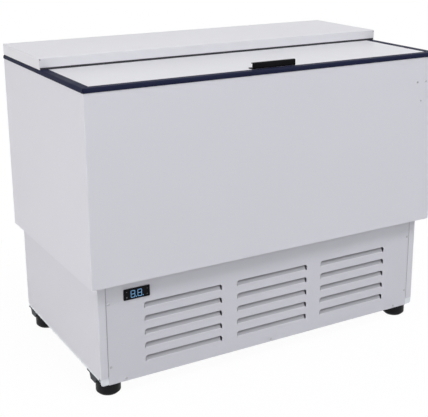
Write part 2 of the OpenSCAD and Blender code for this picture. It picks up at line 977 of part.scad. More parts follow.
// The pan that carries the cooling unit, with a front lip that hangs behind the front panel
// and reaches up behind the side panels' flanges
module base_pan() {
    edge_x = base_x - sheet_t;
    edge_y0 = base_y0 + sheet_t + return_d + 4;
    edge_y1 = base_y1 - 2 * sheet_t - panel_gap;
    lip_y0 = base_y0 + sheet_t + strap_gap;
    color("silver")
        difference() {
            union() {
                box(-edge_x, edge_x, lip_y0, edge_y1, pan_z, pan_top);
                box(-edge_x, -edge_x + pan_t, edge_y0, edge_y1, pan_z, pan_top + pan_edge_h);
                box(edge_x - pan_t, edge_x, edge_y0, edge_y1, pan_z, pan_top + pan_edge_h);
                box(-edge_x, edge_x, edge_y1 - pan_t, edge_y1, pan_z, pan_top + pan_edge_h);
                translate([0, lip_y0 + pan_t, 0])
                    rotate([90, 0, 0])
                        linear_extrude(pan_t)
                            front_rounded(edge_x, front_panel_z + 1, side_panel_z + 3, pan_lip_r);
            }
            for (foot = FEET)
                z_rod(foot[0] * foot_x, foot[1], pan_z - eps, pan_top + eps, stud_r + 1);
            for (foot = FEET)
                at_bolt(foot)
                    translate([0, 0, pan_z - eps])
                        cylinder(r = screw_r * 1.5 + run_fit, h = pan_t + 2 * eps);
            for (x = [-screw_foot_x, 0, screw_foot_x])
                y_rod(x, lip_y0 - eps, lip_y0 + pan_t + eps, screw_foot_z, screw_r + run_fit);
        }
}

// The left side panel: a sheet with a visible front flange, a strap behind the front panel,
// a top flange under the tank and a rear flange
module side_panel() {
    x = -base_x;
    strap_y = base_y0 + sheet_t + strap_gap;
    color("gainsboro")
        difference() {
            union() {
                box(x, x + sheet_t, base_y0, base_y1, side_panel_z, tank_z);
                box(x, x + flange_w, base_y0, base_y0 + sheet_t, side_panel_z, tank_z);
                box(
                    x + flange_w - strap_w / 4, x + flange_w + strap_w,
                    strap_y, strap_y + sheet_t,
                    side_panel_z + 4, panel_top - 4
                );
                box(
                    x + flange_w - strap_w / 4, x + flange_w,
                    base_y0, strap_y + sheet_t,
                    side_panel_z + 4, panel_top - 4
                );
                box(x, x + flange_w, base_y0, base_y1, tank_z - sheet_t, tank_z);
                box(x, x + flange_w, base_y1 - sheet_t, base_y1, side_panel_z, tank_z);
            }
            for (z = [screw_low_z, screw_high_z]) {
                y_rod(-panel_x + screw_inset, base_y0, strap_y + sheet_t + eps, z, screw_r + run_fit);
                y_rod(x + flange_w / 2, base_y1 - sheet_t - eps, base_y1 + eps, z, screw_r + run_fit);
            }
        }
}

module side_panel_left() {
    side_panel();
}

module side_panel_right() {
    mirror([1, 0, 0])
        side_panel();
}

// The rear panel: a rim behind the side flanges and a field recessed from it, with air slots
module rear_panel() {
    x1 = base_x - sheet_t;
    z0 = side_panel_z + 2;
    z1 = tank_z - sheet_t;
    rim = flange_w - sheet_t;
    y1 = base_y1 - sheet_t;
    y0 = y1 - rear_recess;
    slot_l = 150;
    color("gainsboro")
        difference() {
            union() {
                difference() {
                    box(-x1, x1, y1 - sheet_t, y1, z0, z1);
                    box(-x1 + rim, x1 - rim, y0, y1 + eps, z0 + rim, z1 - rim);
                }
                difference() {
                    box(-x1 + rim, x1 - rim, y0, y1, z0 + rim, z1 - rim);
                    box(
                        -x1 + rim + sheet_t, x1 - rim - sheet_t,
                        y0 + sheet_t, y1 + eps,
                        z0 + rim + sheet_t, z1 - rim - sheet_t
                    );
                }
            }
            for (col = [-1.5 : 1 : 0.5], row = [0 : 5])
                translate([col * 200 - slot_l / 2, y0 - eps, 150 + row * 24])
                    cube([slot_l, sheet_t + 2 * eps, 6]);
            for (side = [-1, 1], z = [screw_low_z, screw_high_z])
                y_rod(side * (base_x - flange_w / 2), y1 - sheet_t - eps, y1 + eps, z, screw_r + run_fit);
            y_rod(gland_x, y0 - eps, y0 + sheet_t + eps, gland_z, gland_r + run_fit);
        }
}

// Runs its children at the lower left corner of every louvre
module at_louvres() {
    for (col = [-1 : 1], row = [0 : louvre_rows - 1])
        translate([
            louvre_shift + col * louvre_pitch_x - louvre_w / 2,
            base_y0,
            louvre_top_z - louvre_h - row * louvre_pitch_z
        ])
            children();
}

// A window with rounded upper corners
module louvre_window() {
    r = louvre_h * 0.45;
    translate([0, sheet_t + eps, 0])
        rotate([90, 0, 0])
            linear_extrude(sheet_t + 2 * eps) {
                square([louvre_w, louvre_h - r]);
                translate([r, 0])
                    square([louvre_w - 2 * r, louvre_h]);
                for (x = [r, louvre_w - r])
                    translate([x, louvre_h - r])
                        circle(r = r);
            }
}

// The vane of a louvre, pressed inward about the window's lower edge
module louvre_vane() {
    vane_t = 1;
    translate([1, 0.1, -0.2])
        rotate([-vane_angle, 0, 0])
            cube([louvre_w - 2, vane_t, louvre_h / cos(vane_angle) * 0.86]);
}

// The louvred panel, folded back along its sides and top
module front_panel() {
    top = panel_top - 2;
    color("gainsboro")
        difference() {
            union() {
                difference() {
                    box(-panel_x, panel_x, base_y0, base_y0 + sheet_t, front_panel_z, top);
                    at_louvres()
                        louvre_window();
                }
                at_louvres()
                    louvre_vane();
                box(
                    -panel_x + strap_w + 4, panel_x - strap_w - 4,
                    base_y0, base_y0 + return_d,
                    top - sheet_t, top
                );
            }
            for (side = [-1, 1], z = [screw_low_z, screw_high_z])
                y_rod(side * (panel_x - screw_inset), base_y0 - eps, base_y0 + sheet_t + eps, z, screw_r + run_fit);
            for (x = [-screw_foot_x, 0, screw_foot_x])
                y_rod(x, base_y0 - eps, base_y0 + sheet_t + eps, screw_foot_z, screw_r + run_fit);
            box(
                bezel_x - case_w / 2 - key_clear, bezel_x + case_w / 2 + key_clear,
                base_y0 - eps, base_y0 + sheet_t + eps,
                bezel_z - case_h / 2 - key_clear, bezel_z + case_h / 2 + key_clear
            );
        }
}

// Pan-head screws of the front and rear panels
module panel_screws() {
    shank = 8;
    color("darkgray") {
        for (side = [-1, 1], z = [screw_low_z, screw_high_z]) {
            y_rod(side * (panel_x - screw_inset), base_y0 - screw_head_t, base_y0, z, screw_head_r);
            y_rod(side * (panel_x - screw_inset), base_y0 - eps, base_y0 + shank, z, screw_r);
            y_rod(side * (base_x - flange_w / 2), base_y1, base_y1 + screw_head_t, z, screw_head_r);
            y_rod(side * (base_x - flange_w / 2), base_y1 - shank, base_y1 + eps, z, screw_r);
        }
        for (x = [-screw_foot_x, 0, screw_foot_x]) {
            y_rod(x, base_y0 - screw_head_t, base_y0, screw_foot_z, screw_head_r);
            y_rod(x, base_y0 - eps, base_y0 + shank, screw_foot_z, screw_r);
        }
    }
}

// The bolt that holds a foot's bracket to the base pan
module at_bolt(foot) {
    translate([foot[0] * (foot_x + foot_r - 9), foot[1] + bolt_back, 0])
        children();
}

// A channel over each foot: a plate under the pan with a skirt down each side
module foot_brackets() {
    x = foot_r + bracket_side_gap + bracket_t;
    skirt_from = -11;
    skirt_to = 40;
    skirt_slope = 14;
    color("slategray")
        for (foot = FEET)
            difference() {
                translate([foot[0] * foot_x, foot[1], 0]) {
                    box(-x, x, -bracket_front, bracket_back, bracket_z, bracket_top);
                    for (side = [-1, 1])
                        translate([side * (x - bracket_t / 2) - bracket_t / 2, 0, bracket_z + eps])
                            rotate([90, 0, 90])
                                linear_extrude(bracket_t)
                                    polygon([
                                        [skirt_from, 0],
                                        [skirt_from + skirt_slope, -bracket_skirt],
                                        [skirt_to - skirt_slope / 2, -bracket_skirt],
                                        [skirt_to, 0]
                                    ]);
                }
                z_rod(foot[0] * foot_x, foot[1], bracket_z - eps, bracket_top + eps, stud_r + run_fit);
                at_bolt(foot)
                    translate([0, 0, bracket_z - eps])
                        cylinder(r = screw_r * 1.5 + run_fit, h = bracket_t + 2 * eps);
            }
}

module bracket_bolts() {
    color([0.12, 0.12, 0.13])
        for (foot = FEET)
            at_bolt(foot) {
                translate([0, 0, bracket_z - bolt_head_h])
                    cylinder(r = bolt_head_r, h = bolt_head_h);
                translate([0, 0, bracket_z - eps])
                    cylinder(r = screw_r * 1.5, h = bracket_t + pan_t + 6);
                translate([0, 0, pan_top])
                    cylinder(r = bolt_head_r, h = 4);
            }
}

// A moulded foot on a threaded stud, chamfered round its lower edge
module foot(index) {
    side = FEET[index][0];
    color([0.12, 0.12, 0.13])
        translate([side * foot_x, FEET[index][1], 0]) {
            rotate_extrude()
                polygon([
                    [0, 0],
                    [foot_r - foot_chamfer, 0],
                    [foot_r, foot_chamfer],
                    [foot_r, foot_h - 1],
                    [foot_r - 1, foot_h],
                    [0, foot_h]
                ]);
            cylinder(r = stud_r, h = pan_top + 8);
        }
}

// A hermetic compressor: a domed shell on a foot plate
module compressor() {
    wall = 5;
    dome = 34;
    plate_x = comp_foot_x + 16;
    plate_y = comp_foot_y + 14;
    color([0.13, 0.13, 0.14])
        translate([comp_x, comp_y, comp_z]) {
            rotate_extrude($fn = 64)
                difference() {
                    shell_outline(comp_r, comp_h, dome);
                    translate([0, wall])
                        shell_outline(comp_r - wall, comp_h - 2 * wall, dome);
                    translate([-comp_r, -eps])
                        square([comp_r, comp_h + 2 * eps]);
                }
            // The motor and pump block, standing in the shell
            translate([0, 0, wall - eps])
                cylinder(r = comp_r * 0.55, h = comp_h * 0.45);
            difference() {
                translate([-plate_x, -plate_y, -comp_plate_t])
                    cube([2 * plate_x, 2 * plate_y, comp_plate_t + eps / 2]);
                for (x = [-comp_foot_x, comp_foot_x], y = [-comp_foot_y, comp_foot_y])
                    z_rod(x, y, -comp_plate_t - eps, eps, grommet_r * 0.6);
            }
            // The suction stub to the rear and the discharge stub to the front, on the left
            for (side = [-1, 1])
                translate([-comp_r * 0.65, side * comp_r * 0.65, comp_h * 0.6])
                    rotate([0, 90, 180 - side * 45])
                        cylinder(r = tube_r + 1, h = stub_l);
        }
}

// Half of the shell's section: straight sides with elliptic ends drawn as arcs
module shell_outline(r, h, dome) {
    big = (r * r + dome * dome) / (2 * dome);
    translate([0, dome])
        square([r, h - 2 * dome]);
    intersection() {
        translate([0, big])
            circle(r = big, $fn = 128);
        square([r, dome + eps / 10]);
    }
    intersection() {
        translate([0, h - big])
            circle(r = big, $fn = 128);
        translate([0, h - dome - eps / 10])
            square([r, dome + eps / 10]);
    }
}

module compressor_grommets() {
    color([0.15, 0.15, 0.15])
        for (x = [-comp_foot_x, comp_foot_x], y = [-comp_foot_y, comp_foot_y])
            translate([comp_x + x, comp_y + y, 0])
                difference() {
                    union() {
                        z_rod(0, 0, pan_top, comp_plate_z, grommet_r);
                        z_rod(0, 0, pan_top, comp_z + 2, grommet_r * 0.6 - run_fit);
                    }
                    z_rod(0, 0, pan_top - eps, comp_z + 2 + eps, screw_r * 1.5);
                }
}

module compressor_terminal_cover() {
    color([0.1, 0.1, 0.1])
        difference() {
            box(
                comp_x + comp_r * 0.8, comp_x + comp_r + 26,
                comp_y - 30, comp_y + 30,
                comp_z + 60, comp_z + 115
            );
            translate([comp_x, comp_y, comp_z])
                cylinder(r = comp_r, h = comp_h, $fn = 64);
        }
}

module condenser_coil() {
    color("lightsteelblue") {
        fin_coil(
            cond_x - cond_w / 2, cond_x + cond_w / 2,
            cond_y0, cond_d,
            cond_z, cond_h, 26, cond_passes
        );
        // The frame plates stand on the base pan
        for (x = [cond_x - cond_w / 2, cond_x + cond_w / 2 - 2])
            box(x, x + 2, cond_y0, cond_y0 + cond_d, pan_top, cond_z + cond_h);
    }
}

// The sheet duct from the coil to the fan ring
module condenser_shroud() {
    x0 = cond_x - cond_w / 2;
    x1 = cond_x + cond_w / 2;
    color("gray")
        difference() {
            box(x0, x1, shroud_y0, shroud_y1, pan_top, cond_z + cond_h);
            box(
                x0 + shroud_t, x1 - shroud_t,
                shroud_y0 - eps, shroud_y1 - shroud_t,
                pan_top + shroud_t, cond_z + cond_h - shroud_t
            );
            y_rod(fan_x, shroud_y0, shroud_y1 + eps, fan_z, cond_fan_r + 5);
        }
}

// The condenser fan's motor, on a strap across the shroud
module condenser_fan_motor() {
    reach = cond_fan_r + 16;
    strap_y = cond_motor_y0 + 12;
    color("dimgray") {
        y_rod(fan_x, cond_motor_y0, cond_motor_y0 + cond_motor_l, fan_z, cond_motor_r);
        y_rod(fan_x, cond_blade_y0, cond_motor_y0 + eps, fan_z, shaft_r);
        box(fan_x - reach, fan_x + reach, strap_y, strap_y + 3, fan_z - 9, fan_z + 9);
        for (side = [-1, 1])
            scale([side, 1, 1])
                box(
                    side * fan_x + reach - 3, side * fan_x + reach,
                    shroud_y1, strap_y + 3,
                    fan_z - 9, fan_z + 9
                );
    }
}

module condenser_fan_blade() {
    color("darkgray")
        fan_blade(fan_x, fan_z, cond_blade_y0, cond_blade_y1, cond_fan_r, 26, 5);
}

module filter_drier() {
    color("peru")
        translate([drier_x, drier_y, drier_z]) {
            cylinder(r = drier_r, h = drier_l);
            translate([0, 0, -drier_stub])
                cylinder(r = tube_r + 1, h = drier_stub + eps);
            translate([0, 0, drier_l - eps])
                cylinder(r = tube_r + 1, h = drier_stub + eps);
        }
}

// Copper lines: discharge, liquid, capillary and suction
module refrigerant_tubes() {
    evap_step = evap_coil_h / evap_passes;
    evap_end = evap_coil_x0 - coil_end;
    evap_high = evap_coil_z + evap_coil_h - evap_step / 2;
    evap_low = evap_coil_z + evap_step / 2;
    cond_step = cond_h / cond_passes;
    cond_end = cond_x - cond_w / 2 - coil_end;
    cond_mid = cond_y0 + cond_d / 2;
    cond_high = cond_z + cond_h - cond_step / 2;
    cond_low = cond_z + cond_step / 2;
    over_z = cond_z + cond_h + 14;
    turn = 16;
    color("peru") {
        // Suction, from the evaporator's top pass to the compressor's rear stub
        pipe([
            [comp_x - stub_reach, comp_y + stub_reach, stub_z],
            [comp_x - stub_reach - turn, comp_y + stub_reach + turn, stub_z],
            [suction_x + turn, rise_y, stub_z],
            [suction_x, rise_y, stub_z + turn],
            [suction_x, rise_y, evap_high],
            [evap_end, rise_y, evap_high]
        ], tube_r, tube_elbow_r);
        // Discharge, from the compressor's front stub over the condenser to its top pass
        pipe([
            [comp_x - stub_reach, comp_y - stub_reach, stub_z],
            [comp_x - stub_reach - turn, comp_y - stub_reach - turn, stub_z],
            [comp_x - stub_reach - turn, comp_y - stub_reach - turn, over_z],
            [cond_end - turn, cond_mid, over_z],
            [cond_end - turn, cond_mid, cond_high],
            [cond_end, cond_mid, cond_high]
        ], tube_r, tube_elbow_r);
        // Liquid, from the condenser's bottom pass to the drier
        pipe([
            [cond_end, cond_mid, cond_low],
            [cond_end - turn, cond_mid, cond_low],
            [drier_x, drier_y, cond_low],
            [drier_x, drier_y, drier_z - drier_stub]
        ], tube_r, tube_elbow_r);
        // Capillary, from the drier round behind the suction line to the evaporator's bottom pass
        pipe([
            [drier_x, drier_y, drier_z + drier_l + drier_stub],
            [drier_x, drier_y, drier_z + drier_l + 3 * drier_stub],
            [drier_x, rise_y + turn, drier_z + drier_l + 3 * drier_stub],
            [capillary_x, rise_y + turn, drier_z + drier_l + 3 * drier_stub],
            [capillary_x, rise_y, drier_z + drier_l + 5 * drier_stub],
            [capillary_x, rise_y, evap_low],
            [evap_end, rise_y, evap_low]
        ], capillary_r, capillary_elbow_r);
    }
}

module condensate_tray() {
    color([0.2, 0.2, 0.2])
        difference() {
            box(
                tray_x - tray_w / 2, tray_x + tray_w / 2,
                tray_y - tray_d / 2, tray_y + tray_d / 2,
                pan_top, pan_top + tray_h
            );
            box(
                tray_x - tray_w / 2 + 2, tray_x + tray_w / 2 - 2,
                tray_y - tray_d / 2 + 2, tray_y + tray_d / 2 - 2,
                pan_top + 2, pan_top + tray_h + eps
            );
        }
}

module thermostat_case() {
    color([0.15, 0.15, 0.16])
        box(
            bezel_x - case_w / 2, bezel_x + case_w / 2,
            base_y0, base_y0 + case_l,
            bezel_z - case_h / 2, bezel_z + case_h / 2
        );
}

// Runs its children at each key's centre on the bezel's face
module at_key(side, level) {
    translate([bezel_x + side * key_dx, base_y0 - bezel_t, bezel_z + level * key_dz])
        children();
}

module thermostat_bezel() {
    color([0.1, 0.1, 0.11])
        difference() {
            translate([bezel_x - bezel_w / 2, base_y0 - bezel_t, bezel_z - bezel_h / 2])
                cube([bezel_w, bezel_t, bezel_h]);
            box(
                bezel_x - window_w / 2, bezel_x + window_w / 2,
                base_y0 - bezel_t - eps, base_y0 + eps,
                bezel_z - window_h / 2, bezel_z + window_h / 2
            );
            for (side = [-1, 1], level = [-1, 1])
                at_key(side, level)
                    translate([-key_w / 2 - key_clear, -eps, -key_h / 2 - key_clear])
                        cube([key_w + 2 * key_clear, bezel_t + 2 * eps, key_h + 2 * key_clear]);
        }
}

module display_window() {
    color([0.1, 0.15, 0.25])
        box(
            bezel_x - window_w / 2, bezel_x + window_w / 2,
            base_y0 - bezel_t + 0.4, base_y0,
            bezel_z - window_h / 2, bezel_z + window_h / 2
        );
}

module key(side, level) {
    color([0.25, 0.25, 0.27])
        at_key(side, level)
            translate([-key_w / 2, -key_proud, -key_h / 2])
                cube([key_w, bezel_t + key_proud - key_travel - key_clear, key_h]);
}

// The cable gland in the rear panel's recess
module power_gland() {
    y = base_y1 - sheet_t - rear_recess;
    color([0.12, 0.12, 0.12])
        difference() {
            union() {
                y_rod(gland_x, y - 10, y + sheet_t + gland_flange_l, gland_z, gland_r);
                translate([gland_x, y + sheet_t + gland_flange_l, gland_z])
                    rotate([90, 0, 0])
                        cylinder(r = gland_flange_r, h = gland_flange_l, $fn = 6);
                y_rod(gland_x, y + sheet_t, y + gland_l - 10, gland_z, gland_r);
            }
            y_rod(gland_x, y - 10 - eps, y + gland_l, gland_z, gland_bore_r);
        }
}

tank_wrap();
tank_back_panel();
tank_floor_sheet();
tank_foam();
tank_liner();
collar_front();
collar_left();
collar_right();
collar_rear();
lid_runner(-1);  // lid_runner_left
lid_runner(1);  // lid_runner_right
hood_shell();
hood_foam();
hood_lining();
hood_wiper();
hood_screws();
lid_skin();
lid_foam();
lid_lining();
lid_glides();
lid_front_seal();
lid_handle();
handle_screws();
opener_inserts();
floor_rack();
drain_pipe();
evaporator_coil();
evaporator_cover();
evaporator_fan_motor();
evaporator_fan_blade();
base_pan();
side_panel_left();
side_panel_right();
rear_panel();
front_panel();
panel_screws();
foot_brackets();
bracket_bolts();
foot(0);  // foot_front_left
foot(1);  // foot_front_right
foot(2);  // foot_rear_left
foot(3);  // foot_rear_right
compressor();
compressor_grommets();
compressor_terminal_cover();
condenser_coil();
condenser_shroud();
condenser_fan_motor();
condenser_fan_blade();
filter_drier();
refrigerant_tubes();
condensate_tray();
thermostat_case();
thermostat_bezel();
display_window();
key(-1, 1);  // key_upper_left
key(-1, -1);  // key_lower_left
key(1, 1);  // key_upper_right
key(1, -1);  // key_lower_right
power_gland();
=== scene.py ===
import math

import bmesh
import bpy
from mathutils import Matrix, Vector


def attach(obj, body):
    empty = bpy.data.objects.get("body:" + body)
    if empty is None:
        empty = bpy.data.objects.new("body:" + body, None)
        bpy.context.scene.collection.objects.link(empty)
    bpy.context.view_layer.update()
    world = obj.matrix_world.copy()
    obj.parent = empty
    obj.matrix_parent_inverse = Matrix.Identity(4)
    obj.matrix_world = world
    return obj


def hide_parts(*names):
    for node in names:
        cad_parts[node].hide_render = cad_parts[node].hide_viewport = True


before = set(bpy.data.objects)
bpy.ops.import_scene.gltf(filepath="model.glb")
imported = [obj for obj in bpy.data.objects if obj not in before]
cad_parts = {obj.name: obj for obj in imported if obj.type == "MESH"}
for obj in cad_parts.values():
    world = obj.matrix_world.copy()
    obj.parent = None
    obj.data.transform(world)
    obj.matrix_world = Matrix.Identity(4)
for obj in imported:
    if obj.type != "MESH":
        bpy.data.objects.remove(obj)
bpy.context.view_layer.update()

# Camera: it stands to the left of the cabinet's front, above the rim, and looks down at the tank and base.
# The lens axis is moved off the picture's middle as far as the other views allow.
PICTURE_WIDTH, LENS_PIXELS, SENSOR_WIDTH = 428, 932.95, 36
AXIS_OFFSET = (20, -40)
CAMERA_PLACE = (-1.3994, -2.4276, 1.3091)
CAMERA_TILT, CAMERA_TURN = 0.2778, 0.5353
camera_data = bpy.data.cameras.new("camera")
camera_data.sensor_width = SENSOR_WIDTH
camera_data.lens = LENS_PIXELS * SENSOR_WIDTH / PICTURE_WIDTH
camera_data.shift_x = -AXIS_OFFSET[0] / PICTURE_WIDTH
camera_data.shift_y = AXIS_OFFSET[1] / PICTURE_WIDTH
camera = bpy.data.objects.new("camera", camera_data)
camera.location = CAMERA_PLACE
camera.rotation_euler = (math.pi / 2 - CAMERA_TILT, 0, -CAMERA_TURN)
bpy.context.collection.objects.link(camera)
bpy.context.scene.camera = camera
bpy.context.scene.view_settings.view_transform = "Standard"

# Studio: a dome that is dark at the horizon and brightest overhead, and soft lamps low and high at the left,
# above, in front and behind. The lamp behind isn't seen in reflections.
# The backdrop is white to the camera, in reflections and through clear materials.
DOME_COLOUR, DOME_STRENGTH = (0.97, 0.98, 1, 1), 0.31
DOME_LOW, DOME_HIGH = -0.1, 0.9
WHITE = (1, 1, 1, 1)
WARM, COOL = (1, 0.99, 0.98), (0.97, 0.98, 1)
LAMP_TARGET = (0, 0, 0.5)


def ranged(tree, value, start, end, low=0, high=1):
    """A value's range from start to end, turned into one from low to high."""
    step = tree.nodes.new("ShaderNodeMapRange")
    for socket, number in zip(("From Min", "From Max", "To Min", "To Max"), (start, end, low, high)):
        step.inputs[socket].default_value = number
    tree.links.new(value, step.inputs["Value"])
    return step.outputs["Result"]


def seen_directly(tree):
    """One for camera, glossy and transmission rays, and nought for the light that falls on the pieces."""
    rays = tree.nodes.new("ShaderNodeLightPath")
    seen = rays.outputs["Is Camera Ray"]
    for kind in ("Is Glossy Ray", "Is Transmission Ray"):
        either = tree.nodes.new("ShaderNodeMath")
        either.operation = "MAXIMUM"
        tree.links.new(seen, either.inputs[0])
        tree.links.new(rays.outputs[kind], either.inputs[1])
        seen = either.outputs[0]
    return seen


def soft_lamp(name, place, size, power, colour):
    """A rectangular lamp aimed at the cabinet's middle."""
    data = bpy.data.lights.new(name, "AREA")
    data.shape = "RECTANGLE"
    data.size, data.size_y = size
    data.energy = power
    data.color = colour
    lamp = bpy.data.objects.new(name, data)
    lamp.location = place
    aim = Vector(LAMP_TARGET) - Vector(place)
    lamp.rotation_euler = aim.to_track_quat("-Z", "Y").to_euler()
    bpy.context.collection.objects.link(lamp)
    return lamp


world = bpy.data.worlds.new("studio")
world.use_nodes = True
bpy.context.scene.world = world
sky = world.node_tree
direction = sky.nodes.new("ShaderNodeTexCoord")
height = sky.nodes.new("ShaderNodeSeparateXYZ")
sky.links.new(direction.outputs["Generated"], height.inputs[0])
dome = sky.nodes["Background"]
dome.inputs["Color"].default_value = DOME_COLOUR
strength = ranged(sky, height.outputs["Z"], DOME_LOW, DOME_HIGH, 0, DOME_STRENGTH)
sky.links.new(strength, dome.inputs["Strength"])
backdrop = sky.nodes.new("ShaderNodeBackground")
backdrop.inputs["Color"].default_value = WHITE
backdrop.inputs["Strength"].default_value = 1
blend = sky.nodes.new("ShaderNodeMixShader")
sky.links.new(seen_directly(sky), blend.inputs[0])
sky.links.new(dome.outputs[0], blend.inputs[1])
sky.links.new(backdrop.outputs[0], blend.inputs[2])
sky.links.new(blend.outputs[0], sky.nodes["World Output"].inputs["Surface"])

soft_lamp("lamp_left_low", place=(-6.4, -0.9, 0.8), size=(3.0, 1.4), power=146, colour=WARM)
soft_lamp("lamp_left_high", place=(-3.2, -1.0, 5.2), size=(2.6, 2.0), power=40, colour=WARM)
soft_lamp("lamp_above", place=(0.4, -3.2, 5.6), size=(2.6, 1.8), power=165, colour=COOL)
soft_lamp("lamp_front", place=(0.6, -5.2, 3.6), size=(3.0, 2.2), power=56, colour=COOL)
lamp_rear = soft_lamp("lamp_rear", place=(3.4, 5.2, 2.0), size=(3.0, 2.2), power=125, colour=WARM)
lamp_rear.visible_glossy = False

# Floor: a seamless sheet of pale matt paper under the feet, which sends a little less light to the cabinet
# than its own tone says. To the camera it glows, so that only a trace of the shadow is left near the feet,
# and further out it is fully white and meets the backdrop without an edge.
FLOOR_SIZE = 40
TONE_LIT, TONE_SEEN = (0.8, 0.8, 0.8, 1), (0.95, 0.95, 0.95, 1)
PAPER_ROUGHNESS, PAPER_SPECULAR = 0.9, 0.1
GLOW_FROM, GLOW_FULL, GLOW_LEAST = 0.35, 1.15, 0.955


def floor_paper():
    material = bpy.data.materials.new("pale_floor")
    material.use_nodes = True
    tree = material.node_tree
    nodes, links = tree.nodes, tree.links
    shader = nodes["Principled BSDF"]
    shader.inputs["Roughness"].default_value = PAPER_ROUGHNESS
    shader.inputs["Specular IOR Level"].default_value = PAPER_SPECULAR
    tone = nodes.new("ShaderNodeMix")
    tone.data_type = "RGBA"
    tone.inputs["A"].default_value = TONE_LIT
    tone.inputs["B"].default_value = TONE_SEEN
    glow = nodes.new("ShaderNodeEmission")
    glow.inputs["Color"].default_value = WHITE
    place = nodes.new("ShaderNodeTexCoord")
    reach = nodes.new("ShaderNodeVectorMath")
    reach.operation = "LENGTH"
    shown = nodes.new("ShaderNodeMath")
    shown.operation = "MULTIPLY"
    mix = nodes.new("ShaderNodeMixShader")
    seen = seen_directly(tree)
    links.new(seen, tone.inputs["Factor"])
    links.new(tone.outputs["Result"], shader.inputs["Base Color"])
    links.new(place.outputs["Object"], reach.inputs[0])
    links.new(ranged(tree, reach.outputs["Value"], GLOW_FROM, GLOW_FULL, GLOW_LEAST, 1), shown.inputs[0])
    links.new(seen, shown.inputs[1])
    links.new(shown.outputs[0], mix.inputs[0])
    links.new(shader.outputs[0], mix.inputs[1])
    links.new(glow.outputs[0], mix.inputs[2])
    links.new(mix.outputs[0], nodes["Material Output"].inputs["Surface"])
    return material


bpy.ops.object.select_all(action="DESELECT")
bpy.ops.mesh.primitive_plane_add(size=FLOOR_SIZE, location=(0, 0, 0))
floor = bpy.context.object
floor.name = "floor"
floor.data.materials.append(floor_paper())

# Tank: one painted sheet folded round the front and sides, with a back panel, a galvanised floor sheet,
# rigid foam and a liner of stucco-embossed aluminium. The solids have their true shapes, so they stay.
TONE_FROM, TONE_TO = 0.25, 0.75
GLOSS_FROM, GLOSS_TO, LEAST_ROUGHNESS = 0.3, 0.7, 0.02
TONE_DETAIL, SMUDGE_DETAIL, GRAIN_DETAIL = 3, 4, 1
COAT_ROUGHNESS = 0.12


def surface(
    name, colour, roughness, metallic=0.0, coat=0.0, specular=0.5, tone=(3, 0.03), smudge=(2, 0.04),
    grain=(900, 0.00003), stretch=(1, 1, 1), cells=False, sheen=0.0, painted_shade=None
):
    """A finish with slow changes of tone, uneven gloss and a fine relief.

    Tone, smudge and grain each give a scale and a strength. Painted shade darkens the tone between two depths
    along Y, down to its last number, in place of the shade that falls in a recess.
    """
    material = bpy.data.materials.new(name)
    material.use_nodes = True
    tree = material.node_tree
    nodes, links = tree.nodes, tree.links
    shader = nodes["Principled BSDF"]
    shader.inputs["Metallic"].default_value = metallic
    shader.inputs["Specular IOR Level"].default_value = specular
    shader.inputs["Coat Weight"].default_value = coat
    shader.inputs["Coat Roughness"].default_value = COAT_ROUGHNESS
    shader.inputs["Sheen Weight"].default_value = sheen
    place = nodes.new("ShaderNodeTexCoord")
    turn = nodes.new("ShaderNodeMapping")
    turn.inputs["Scale"].default_value = stretch
    links.new(place.outputs["Object"], turn.inputs["Vector"])

    def pattern(scale, detail, in_cells=False):
        texture = nodes.new("ShaderNodeTexVoronoi" if in_cells else "ShaderNodeTexNoise")
        texture.inputs["Scale"].default_value = scale
        if not in_cells:
            texture.inputs["Detail"].default_value = detail
        links.new(turn.outputs["Vector"], texture.inputs["Vector"])
        return texture.outputs[0]

    shades = ranged(tree, pattern(tone[0], TONE_DETAIL), TONE_FROM, TONE_TO)
    mix = nodes.new("ShaderNodeMix")
    mix.data_type = "RGBA"
    dark = [c * (1 - tone[1]) for c in colour]
    light = [min(1, c * (1 + tone[1])) for c in colour]
    mix.inputs["A"].default_value = (*dark, 1)
    mix.inputs["B"].default_value = (*light, 1)
    links.new(shades, mix.inputs["Factor"])
    links.new(mix.outputs["Result"], shader.inputs["Base Color"])
    # Painted shade: the colour is darkened with depth along Y, where a recess would be in shade.
    if painted_shade:
        unshaded_to, fully_shaded_from, shaded_tone = painted_shade
        parts = nodes.new("ShaderNodeSeparateXYZ")
        darkened = nodes.new("ShaderNodeVectorMath")
        darkened.operation = "SCALE"
        links.new(place.outputs["Object"], parts.inputs[0])
        links.new(mix.outputs["Result"], darkened.inputs[0])
        shade_factor = ranged(tree, parts.outputs["Y"], unshaded_to, fully_shaded_from, 1, shaded_tone)
        links.new(shade_factor, darkened.inputs["Scale"])
        links.new(darkened.outputs[0], shader.inputs["Base Color"])
    smooth = max(LEAST_ROUGHNESS, roughness - smudge[1])
    rough = min(1, roughness + smudge[1])
    gloss = ranged(tree, pattern(smudge[0], SMUDGE_DETAIL), GLOSS_FROM, GLOSS_TO, smooth, rough)
    links.new(gloss, shader.inputs["Roughness"])
    relief = nodes.new("ShaderNodeBump")
    relief.inputs["Distance"].default_value = grain[1]
    relief.inputs["Strength"].default_value = 1
    links.new(pattern(grain[0], GRAIN_DETAIL, cells), relief.inputs["Height"])
    links.new(relief.outputs["Normal"], shader.inputs["Normal"])
    return material


def dress(material, *nodes):
    """Give CAD nodes a finish."""
    for node in nodes:
        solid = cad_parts[node]
        if not solid.material_slots:
            solid.data.materials.append(material)
        for place in solid.material_slots:
            place.material = material


